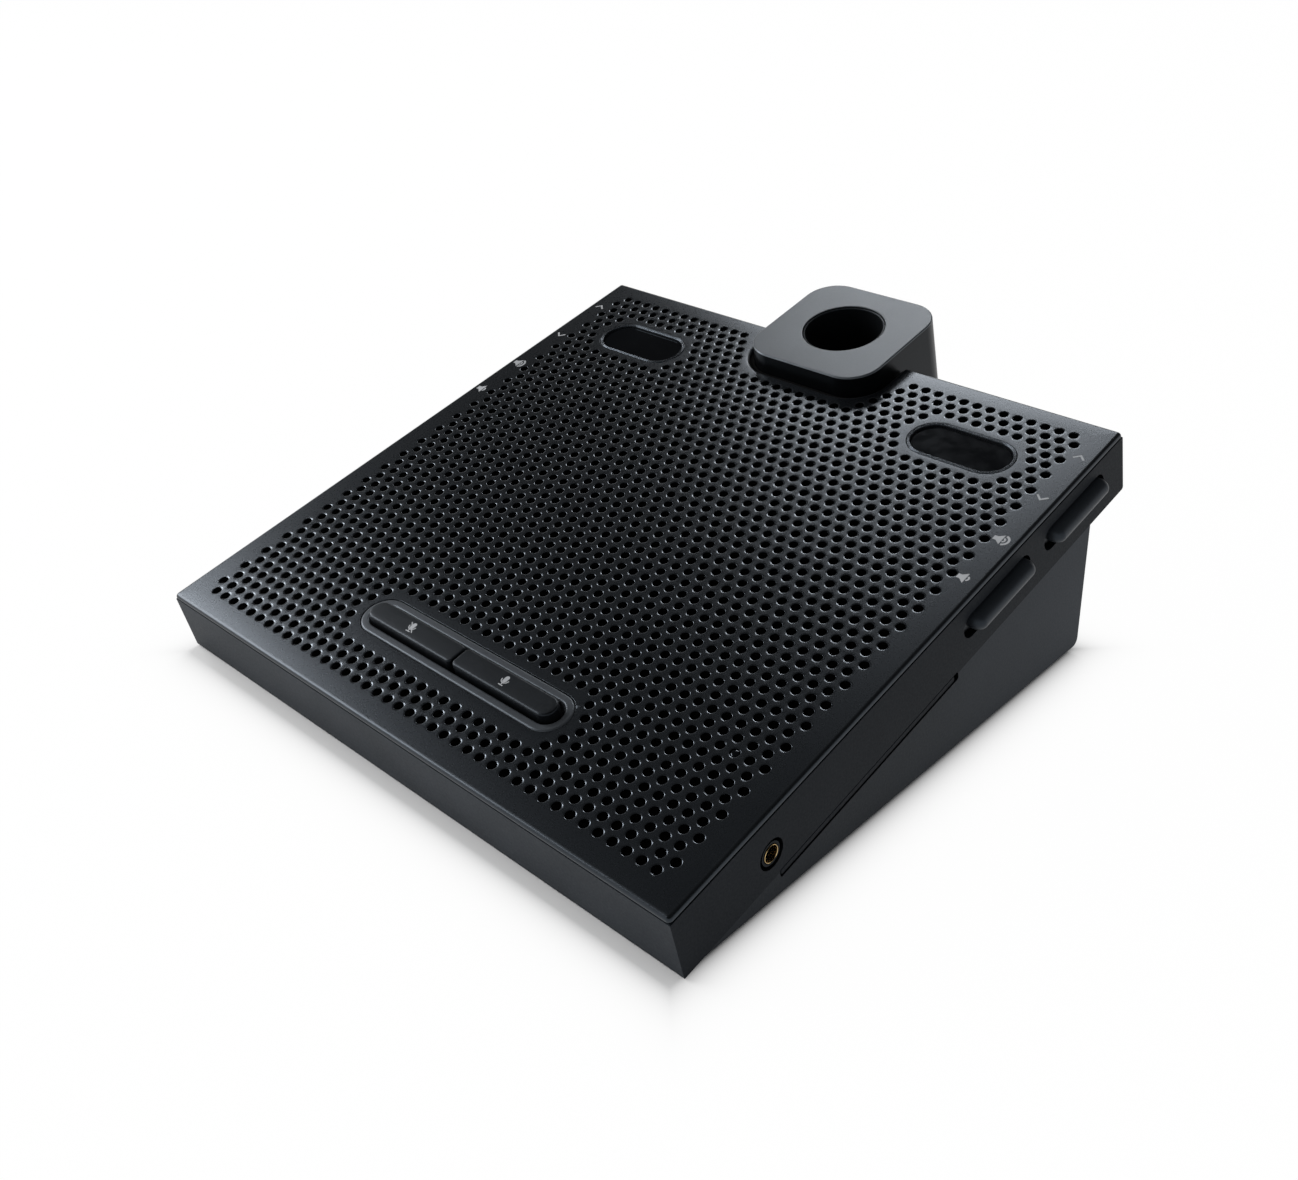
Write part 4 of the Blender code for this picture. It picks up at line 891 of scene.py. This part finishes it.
def housing_openings():
    """The hollow of the housing, the notch of the socket block and the two port windows."""
    floor = WALL - SLAB_THICKNESS
    rear = BASE_BACK - WALL
    near = side_point(WALL, floor)
    cavity = [side_point(WALL, OVERRUN), near, (near[0], -OVERRUN), (rear, -OVERRUN)]
    cavity += [(rear, near[1] + (rear - near[0]) * math.tan(SLOPE))]
    cavity += [side_point(PLATE_DEPTH - WALL, floor), side_point(PLATE_DEPTH - WALL, OVERRUN)]
    x = BLOCK_WIDTH / 2.0 + SEAT_GAP
    low = BLOCK_MIDDLE - BLOCK_DEPTH / 2.0 + BLOCK_STEP - SEAT_GAP
    high = PLATE_DEPTH + OVERRUN
    notch = np.array([(x, high), (-x, high), (-x, low), (x, low)])
    made = [prism(cavity, -HOLLOW_HALF, HOLLOW_HALF, on_level),
            laid(plank([notch], -SLAB_THICKNESS - OVERRUN, OVERRUN), on_slope)]
    for across in PORT_ACROSS:
        loop = cushion_outline(*PORT_WINDOW, PORT_CORNER, across, PORT_MIDDLE)[0]
        made.append(laid(plank([loop], -WALL - OVERRUN, OVERRUN), on_rear))
    return made


def wall_openings():
    """Slots of the rocker keys and jack holes in both side walls, and the card slot in the right one."""
    gap = 2.0 * ROCKER_GAP
    made = []
    for name, side in SIDES:
        paths = [slot_outline(ROCKER_SLOT + gap, ROCKER_HEIGHT + gap, along, ROCKER_LEVEL)
                 for along in ROCKER_PLACES.values()]
        paths.append(round_outline(JACK_HOLE, JACK_ALONG, JACK_LEVEL))
        if name == "right":
            length, middle = CARD_ALONG[1] - CARD_ALONG[0], sum(CARD_ALONG) / 2.0
            paths.append(cushion_outline(length, CARD_HEIGHT, CARD_CORNER, middle, CARD_LEVEL))
        made += [laid(plank([path[0]], -CUT_DEPTH, OVERRUN), on_wall(side)) for path in paths]
    return made


def make_rockers(looks):
    """Four rocker keys: a slot shape whose face swells out in half an ellipse, so that its ends are bullet
    noses. It stands on a longer tail that fills the slot inside the wall, painted black as the shade in the
    slot."""
    crest, ease, reach = 0.00005, 0.0001, 0.0018
    wide = ROCKER_HEIGHT / 2.0 - crest
    swell = np.radians(np.linspace(0.0, 90.0, 13))
    level = ROCKER_PROUD - ROCKER_SWELL + ROCKER_SWELL * np.sin(swell)
    profile = [(0.0, -ROCKER_STEP)] + list(zip(wide * (1.0 - np.cos(swell)), level))
    tail = [(0.0, -WALL - reach), (0.0, -ROCKER_STEP - 3.0 * ease), (ease, -ROCKER_STEP - 2.0 * ease)]
    for key, along in ROCKER_PLACES.items():
        root = slot_outline(*ROCKER_TAIL, along, ROCKER_LEVEL)
        at = (along + ROCKER_SHIFT[0], ROCKER_LEVEL + ROCKER_SHIFT[1])
        path = slot_outline(ROCKER_LENGTH, ROCKER_HEIGHT, *at)
        shape = closed(np.concatenate((rows_along(root, tail), rows_along(path, profile))))
        for name, side in SIDES:
            body = f"{key}_key_{name}"
            rocker = new_piece(f"{key}_rocker_{name}", laid(shape, on_wall(side)), looks["rocker"], (body,),
                               body)
            # Faces inside the wall are painted black, a painted shade in the slot
            refinish(rocker, np.abs(middles(rocker)[:, 0]) < HALF_WIDTH - ROCKER_STEP, looks["bore"])


def make_jacks(looks):
    """Headphone jacks: a collar with an undercut lip, a deep bore painted dark as shade, and a bright ring in
    its mouth.
    """
    bore, nose, flange = 0.0018, 0.0028, 0.0032
    face, ease, bevel = -0.0002, 0.0004, 0.0002
    seat, end, foot = -0.0030, -0.0150, -0.0154
    collar = [(0.0, end), (bore, end), (bore, face - bevel), (bore + bevel, face)]
    collar += roll(nose - ease, face - ease, ease, 90.0, 0.0, 4)
    collar += [(nose, seat), (flange, seat), (flange, foot), (0.0, foot)]
    inner, outer = bore - 0.00013, bore - 0.00003
    top, slant, sunk = face + 0.00015, 0.00005, face - 0.0012
    trim = [(inner, sunk), (inner, top - slant), ((inner + outer) / 2.0, top), (outer, top - slant),
            (outer, sunk)]
    for name, side in SIDES:
        lay = on_wall(side)
        shape = laid(turned(collar, JACK_ALONG, JACK_LEVEL), lay)
        socket = new_piece("jack_socket_" + name, shape, looks["housing"], ("headphone_jack_" + name,))
        axis = lay((JACK_ALONG, JACK_LEVEL, 0.0))[1:]
        # The bore's wall is painted near black, a painted shade deep in the hole
        deep = np.linalg.norm(middles(socket)[:, 1:] - axis, axis=1) < bore + slant
        refinish(socket, deep, looks["bore"])
        shape = laid(turned(trim, JACK_ALONG, JACK_LEVEL), lay)
        new_piece("jack_trim_" + name, shape, looks["gold"], ("jack_ring_" + name,))


def make_card_blank(looks):
    """Strip that blanks the card slot, with eased edges and a wider gap at its rear end."""
    rear_gap, corner, face, ease = 0.0012, 0.0004, -0.0001, 0.00015
    length = CARD_ALONG[1] - CARD_ALONG[0] - SEAT_GAP - rear_gap
    middle = CARD_ALONG[0] + SEAT_GAP + length / 2.0
    path = cushion_outline(length, CARD_HEIGHT - 2.0 * SEAT_GAP, corner, middle, CARD_LEVEL)
    profile = [(0.0, -WALL - SEAT_GAP), (0.0, face - ease), (ease, face)]
    new_piece("card_blank", stacked(path, profile, on_wall(1)), looks["housing"], ("card_slot_blank",))


def mouth_outline(across):
    """Outline of a network port's mouth: a rectangle with the two steps of the latch's groove under it."""
    wide, mid, slim = 0.00585, 0.0031, 0.0017
    top, low = PORT_MIDDLE + 0.0046, PORT_MIDDLE - 0.0022
    step, deep = PORT_MIDDLE - 0.0036, PORT_MIDDLE - 0.0046
    ease, nook = 0.0005, 0.0002
    right = [(slim - ease, deep + ease, ease, 270.0, 360.0), (slim + nook, step - nook, -nook, 180.0, 90.0),
             (mid - ease, step + ease, ease, 270.0, 360.0), (mid + nook, low - nook, -nook, 180.0, 90.0),
             (wide - ease, low + ease, ease, 270.0, 360.0), (wide - ease, top - ease, ease, 0.0, 90.0)]
    left = [(-x, y, radius, 180.0 - last, 180.0 - first) for x, y, radius, first, last in reversed(right)]
    points, outward = outline(*right, *left)
    return points + (across, 0.0), outward


def make_ports(looks):
    """Two network ports behind the rear wall: a shielded nose with a black lining and eight sprung wires."""
    neck, bevel, seat = 0.0013, 0.0002, -WALL - SEAT_GAP
    nose = [(0.0, PORT_REAR), (0.0, seat), (neck, seat), (neck, PORT_FACE - bevel), (neck + bevel, PORT_FACE)]
    size = [side + 2.0 * (neck - SEAT_GAP) for side in PORT_WINDOW]
    pocket, slack, skin, sunk = -0.0150, 0.00005, 0.0004, PORT_FACE - 0.0005
    lining = [(slack, pocket + 0.0002), (slack, sunk), (skin, sunk), (skin, pocket + 0.0006)]
    sprung = np.array([(-0.0022, 0.0040), (-0.0034, 0.0040), (-0.0100, 0.0014), (-0.0115, 0.0014)])
    pitch, half, thick = 0.00102, 0.0002, 0.0003
    wire = stroke(sprung + (0.0, PORT_MIDDLE), thick)
    for k, across in enumerate(PORT_ACROSS, 1):
        path = cushion_outline(*size, neck + SEAT_GAP, across, PORT_MIDDLE)
        shield = new_piece(f"port_shield_{k}", stacked(path, nose, on_rear), looks["steel"], ready=False)
        mouth = mouth_outline(across)
        carve(shield, laid(plank([mouth[0]], pocket, OVERRUN), on_rear))
        shade(shield)
        dress(shield, (f"network_port_{k}",), "housing")
        new_piece(f"port_lining_{k}", stacked(mouth, lining, on_rear), looks["black"])
        places = across + pitch * (np.arange(8) - 3.5)
        wires = [prism(wire, place - half, place + half, on_rear, (2, 1, 0)) for place in places]
        new_piece(f"port_wires_{k}", joined(*wires), looks["gold"])


def make_feet(looks):
    """Rubber feet with a rounded lower edge."""
    radius, ease = 0.0050, 0.0005
    turn = np.radians(np.linspace(0.0, 90.0, 4))
    edge = list(zip(radius - ease * (1.0 - np.sin(turn)), ease * (1.0 - np.cos(turn))))
    for k in range(1, 5):
        low, high = np.array(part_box(f"rubber_foot_{k}"))
        profile = [(0.0, 0.0)] + edge + [(radius, high[2]), (0.0, high[2])]
        shape = turned(profile, *(low[:2] + high[:2]) / 2.0)
        new_piece(f"foot_pad_{k}", shape, looks["rubber"], (f"rubber_foot_{k}",))


# The gooseneck socket

def make_block(looks):
    """Socket block: rows run from the bottom of the bore up its wall, over the top and down the outside. Its
    front steps back under the slab and its lower rear edge is slanted off."""
    outer_path = cushion_outline(BLOCK_WIDTH, BLOCK_DEPTH, BLOCK_CORNER, 0.0, BLOCK_MIDDLE)
    start = np.argmin(np.abs(np.arctan2(outer_path[0][:, 1] - BORE_MIDDLE, outer_path[0][:, 0])))
    outer_path = [np.roll(part, -start, axis=0) for part in outer_path]
    bore_path = round_outline(BORE_RADIUS, 0.0, BORE_MIDDLE, len(outer_path[0]))
    third = BORE_BRINK / 3.0
    bore = [(0.0, BLOCK_RISE - BORE_DEPTH), (0.0, BLOCK_RISE - BORE_BRINK), (-third, BLOCK_RISE - third),
            (-BORE_BRINK, BLOCK_RISE)]
    outside = roll(BLOCK_EASE, BLOCK_RISE - BLOCK_EASE, BLOCK_EASE, 90.0, 0.0, 4) + [(0.0, -BLOCK_DROP)]
    rows = np.concatenate((rows_along(bore_path, bore), rows_along(outer_path, outside)))
    block = new_piece("socket_body", laid(closed(rows), on_slope), looks["block"], ready=False)
    front, rear = BLOCK_MIDDLE - BLOCK_DEPTH / 2.0, BLOCK_MIDDLE + BLOCK_DEPTH / 2.0
    foot = -BLOCK_DROP - OVERRUN
    shelf = WALL - SLAB_THICKNESS + SEAT_GAP
    step = [(front - OVERRUN, foot), (front + BLOCK_STEP, foot), (front + BLOCK_STEP, shelf),
            (front - OVERRUN, shelf)]
    slant = [(rear + OVERRUN, BLOCK_SLANT - BLOCK_DROP + OVERRUN), (rear - BLOCK_SLANT - OVERRUN, foot),
             (rear + OVERRUN, foot)]
    wide = BLOCK_WIDTH / 2.0 + OVERRUN
    carve(block, *(prism(loop, -wide, wide, on_slope) for loop in (step, slant)))
    shade(block)
    # Faces below the top's eased edge take the side finish, painted dark as shade
    _, back, up = (middles(block) - on_slope((0.0, BLOCK_MIDDLE, BLOCK_RISE))).T
    below = back * math.sin(SLOPE) - up * math.cos(SLOPE) > BLOCK_EASE
    refinish(block, below, looks["block side"])
    dress(block, ("socket_block",), "housing")


def make_sleeve(looks):
    """Ring that lines the bore, with an eased lip, painted near black as the bore's shade."""
    fine = 0.0001
    outer, inner = BORE_RADIUS - fine, BORE_RADIUS - 6.0 * fine
    top = BLOCK_RISE - SEAT_GAP
    foot = top - 0.0140
    profile = [(inner, foot), (inner, top - 3.0 * fine), (inner + fine, top - 0.8 * fine),
               (inner + 2.5 * fine, top), (outer - fine, top - 0.3 * fine), (outer, top - 1.5 * fine),
               (outer, foot)]
    shape = laid(turned(profile, 0.0, BORE_MIDDLE, 72), on_slope)
    new_piece("bore_lining", shape, looks["bore"], ("socket_sleeve",))


def make_contacts(looks):
    """Contact block at the bottom of the bore with its ten pins."""
    height, ease = 0.0046, 0.0004
    low = BLOCK_RISE - BORE_DEPTH + SEAT_GAP
    high = low + height
    outer = BORE_RADIUS - SEAT_GAP
    profile = [(0.0, low), (outer, low), (outer, high - ease), (outer - ease, high), (0.0, high)]
    core = laid(turned(profile, 0.0, BORE_MIDDLE), on_slope)
    new_piece("contact_core", core, looks["black"], ("socket_contact_block",))
    pin, tip, circle = 0.0005, 0.0003, 0.0055
    foot, neck, end = high - 0.0010, high + 0.0032, high + 0.0036
    profile = [(0.0, foot), (pin, foot), (pin, neck), (tip, end), (0.0, end)]
    pins = [turned(profile, *place, 12) for place in round_outline(circle, 0.0, BORE_MIDDLE, 10)[0]]
    new_piece("contact_pins", laid(joined(*pins), on_slope), looks["gold"])


# Printed symbols

def stroke(points, width):
    """Outline of a line of even width: each point moved half the width to either side, square to the line."""
    points = np.asarray(points, dtype=float)
    step = np.diff(points, axis=0)
    step /= np.linalg.norm(step, axis=1)[:, None]
    ahead = np.concatenate((step, step[-1:]))
    behind = np.concatenate((step[:1], step))
    way = ahead + behind
    square = np.stack((-way[:, 1], way[:, 0]), axis=1)
    square /= np.linalg.norm(square, axis=1)[:, None]
    across = np.stack((-ahead[:, 1], ahead[:, 0]), axis=1)
    reach = width / 2.0 / np.abs((square * across).sum(axis=1))
    return np.concatenate((points + square * reach[:, None], (points - square * reach[:, None])[::-1]))


def bow(middle, radius, first, last, count=9):
    """Points of an arc: the middle plus the radius times (cosine, sine)."""
    return middle + radius * rays(np.radians(np.linspace(first, last, count)))


def chevron(way):
    """Arrow head that points up or down."""
    x, y = 0.00125, 0.0006 * way
    return [stroke([(-x, -y), (0.0, y), (x, -y)], 0.00042)]


def loudspeaker(loud):
    """Loudspeaker seen from its side: a box with its horn, a small arc before it, and a bold one where it is
    loud."""
    lower = [(-0.0019, -0.0006), (-0.0011, -0.0006), (0.0, -0.0015)]
    horn = np.array(lower + [(x, -y) for x, y in reversed(lower)])
    made = [horn, stroke(bow((0.0, 0.0), 0.0006, -70.0, 70.0), 0.0004)]
    if loud:
        made.append(stroke(bow((0.0, 0.0), 0.0014, -75.0, 75.0, 15), 0.0005))
    return made


def microphone(struck):
    """Microphone with its stand, struck through for silence."""
    head = slot_outline(0.0017, 0.0010)[0][:, ::-1] * (-1.0, 1.0) + (0.0, 0.0005)
    cradle = bow((0.0, 0.0004), 0.0009, 180.0, 360.0, 13)
    stem = [(0.0, -0.0005), (0.0, -0.0010)]
    foot = [(-0.0006, -0.0011), (0.0006, -0.0011)]
    strike = [(-0.0012, 0.0012), (0.0012, -0.0011)]
    lines = (cradle, stem, foot, strike) if struck else (cradle, stem, foot)
    return [head] + [stroke(line, SIGN_LINE) for line in lines]


def print_symbol(name, loops, at, level, looks, body="housing"):
    """Thin print: the region in any of the loops, a hair proud of what it lies on."""
    placed = [np.asarray(loop) + at for loop in loops]
    shape = laid(plank(placed, level - PRINT_SUNK, level + PRINT_PROUD), on_slope)
    new_piece(name, shape, looks["print"], body=body)


def make_prints(looks):
    """Symbols of the rocker keys in both margins, and a microphone on each front key."""
    signs = {"up": (chevron(1), 0.1355), "down": (chevron(-1), 0.1200),
             "louder": (loudspeaker(True), 0.1048), "softer": (loudspeaker(False), 0.0916)}
    for name, side in SIDES:
        for sign, (loops, along) in signs.items():
            print_symbol(f"sign_{sign}_{name}", loops, (side * SIGN_ACROSS, along), 0.0, looks)
    top = KEY_RISE + KEY_CROWN
    print_symbol("sign_mute", microphone(True), (-0.0147, KEYS_MIDDLE), top, looks, "mute_button")
    print_symbol("sign_talk", microphone(False), (0.0136, KEYS_MIDDLE), top, looks, "talk_button")


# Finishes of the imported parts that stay

PACKED_LOOKS = {
    "cover": ("bottom_cover",),
    "cone": ("speaker_cone",),
    "board": ("button_board", "main_board", "side_switch_board_left", "side_switch_board_right"),
    "black": ("upper_frame", "display_module_left", "display_module_right", "card_reader", "processor_chip",
              "amplifier_chip"),
    "steel": ("mute_switch", "talk_switch", "speaker_basket", "speaker_magnet", "capacitor_1", "capacitor_2",
              "cover_screw_1", "cover_screw_2", "cover_screw_3", "cover_screw_4"),
}


def dress_packed(looks):
    """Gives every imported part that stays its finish."""
    for look, names in PACKED_LOOKS.items():
        for name in names:
            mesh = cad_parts[name].data
            mesh.materials.clear()
            mesh.materials.append(looks[look])


# Floor, light and camera

WHITE = (1.0, 1.0, 1.0, 1.0)
AIR = 0.36
BACKDROP_FADE = (0.24, 0.46)
SHADOW_FADE = 380.0
FLOOR_REACH = 20.0
LIGHT_AIM = (0.0, 0.0, 0.03)

# Each soft box: the way to it, how far it stands off, its width and height, and its brightness
LIGHTS = {
    "rear_box": ((-0.389, 0.668, 0.635), 1.1, (0.51, 0.15), 11.2),
    "left_box": ((-0.819, -0.083, 0.568), 1.1, (0.25, 0.26), 10.8),
    "front_box": ((-0.80, -0.42, 0.43), 1.3, (0.8, 0.6), 9.0),
}


def make_floor():
    """Pale floor that reads as white to the camera and in gloss, and keeps the unit's shadow round its foot:
    the white share is 0.99 less 0.72 times e to the power of minus the fade times the distance from the
    footprint, and never under 0."""
    look, tree, shader, places = new_look("floor_pale")
    feed(tree, shader, {"Base Color": (0.85, 0.85, 0.85, 1.0), "Roughness": 0.9, "Specular IOR Level": 0.0})
    parts = add_node(tree, "SeparateXYZ", {"Vector": places}).outputs
    half_base = BASE_BACK / 2.0
    aside = reckoned(tree, "ABSOLUTE", parts["X"])
    along = reckoned(tree, "ABSOLUTE", reckoned(tree, "ADD", parts["Y"], FOOTPRINT_MIDDLE - half_base))
    along = reckoned(tree, "ADD", along, HALF_WIDTH - half_base)
    away = reckoned(tree, "SUBTRACT", reckoned(tree, "MAXIMUM", aside, along), HALF_WIDTH)
    shadow = reckoned(tree, "EXPONENT", reckoned(tree, "MULTIPLY", away, -SHADOW_FADE))
    white = reckoned(tree, "MAXIMUM", reckoned(tree, "MULTIPLY_ADD", shadow, -0.72, 0.99), 0.0)
    share = reckoned(tree, "MULTIPLY", seen_straight(tree), white)
    glow = add_node(tree, "Emission", {"Strength": 1.0})
    blended(tree, share, shader.outputs["BSDF"], glow.outputs["Emission"], "Material Output")
    points = FLOOR_REACH * np.array([(-1.0, -1.0, 0.0), (1.0, -1.0, 0.0), (1.0, 1.0, 0.0), (-1.0, 1.0, 0.0)])
    floor = new_piece("floor", (points, [(0, 1, 2, 3)]), look, merge=False, ready=False)


def make_world():
    """Studio air: even dim light, and for what is seen straight a white backdrop that fades out above the
    unit. The camera sees it white all over."""
    world = bpy.data.worlds.new("studio")
    bpy.context.scene.world = world
    world.use_nodes = True
    tree = world.node_tree
    air = tree.nodes["Background"]
    feed(tree, air, {"Color": WHITE, "Strength": AIR})
    places = add_node(tree, "TexCoord", {}).outputs["Generated"]
    up = add_node(tree, "SeparateXYZ", {"Vector": places}).outputs["Z"]
    fade = spread(tree, up, 1.0, 0.02, *BACKDROP_FADE, interpolation_type="SMOOTHSTEP")
    camera = add_node(tree, "LightPath", {}).outputs["Is Camera Ray"]
    white = add_node(tree, "Background", {"Color": WHITE, "Strength": reckoned(tree, "MAXIMUM", fade, camera)})
    blended(tree, seen_straight(tree), air.outputs["Background"], white.outputs["Background"], "World Output")


def make_light(name, way, distance, size, strength):
    """Soft box that faces the unit from a way; strength is the brightness of its face."""
    way = Vector(way).normalized()
    lamp = bpy.data.lights.new(name, "AREA")
    lamp.shape = "RECTANGLE"
    lamp.size, lamp.size_y = size
    lamp.energy = strength * math.pi * size[0] * size[1]
    made = bpy.data.objects.new(name, lamp)
    made.location = way * distance + Vector(LIGHT_AIM)
    made.rotation_euler = way.to_track_quat("Z", "Y").to_euler()
    bpy.context.scene.collection.objects.link(made)


def make_camera():
    """Camera at the photograph's angle."""
    lens = bpy.data.cameras.new("camera")
    lens.lens = 40.7310
    lens.sensor_width = 36.0
    lens.shift_y = -0.14638
    lens.clip_start = 0.01
    camera = bpy.data.objects.new("camera", lens)
    camera.location = (0.197333, -0.212930, 0.183289)
    camera.rotation_euler = [math.radians(a) for a in (66.2676, 1.1768, 43.2891)]
    bpy.context.scene.collection.objects.link(camera)
    bpy.context.scene.camera = camera


def main():
    """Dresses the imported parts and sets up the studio."""
    make_camera()
    looks = make_looks()
    for make in (make_housing, make_grille_plate, make_cloth, make_well, make_keys, make_windows, make_pip,
                 make_block, make_sleeve, make_contacts, make_rockers, make_jacks, make_card_blank, make_ports,
                 make_feet, make_prints, dress_packed):
        make(looks)
    make_floor()
    make_world()
    for name, values in LIGHTS.items():
        make_light(name, *values)
    bpy.context.scene.view_settings.view_transform = "Standard"


main()
bpy.context.view_layer.update()
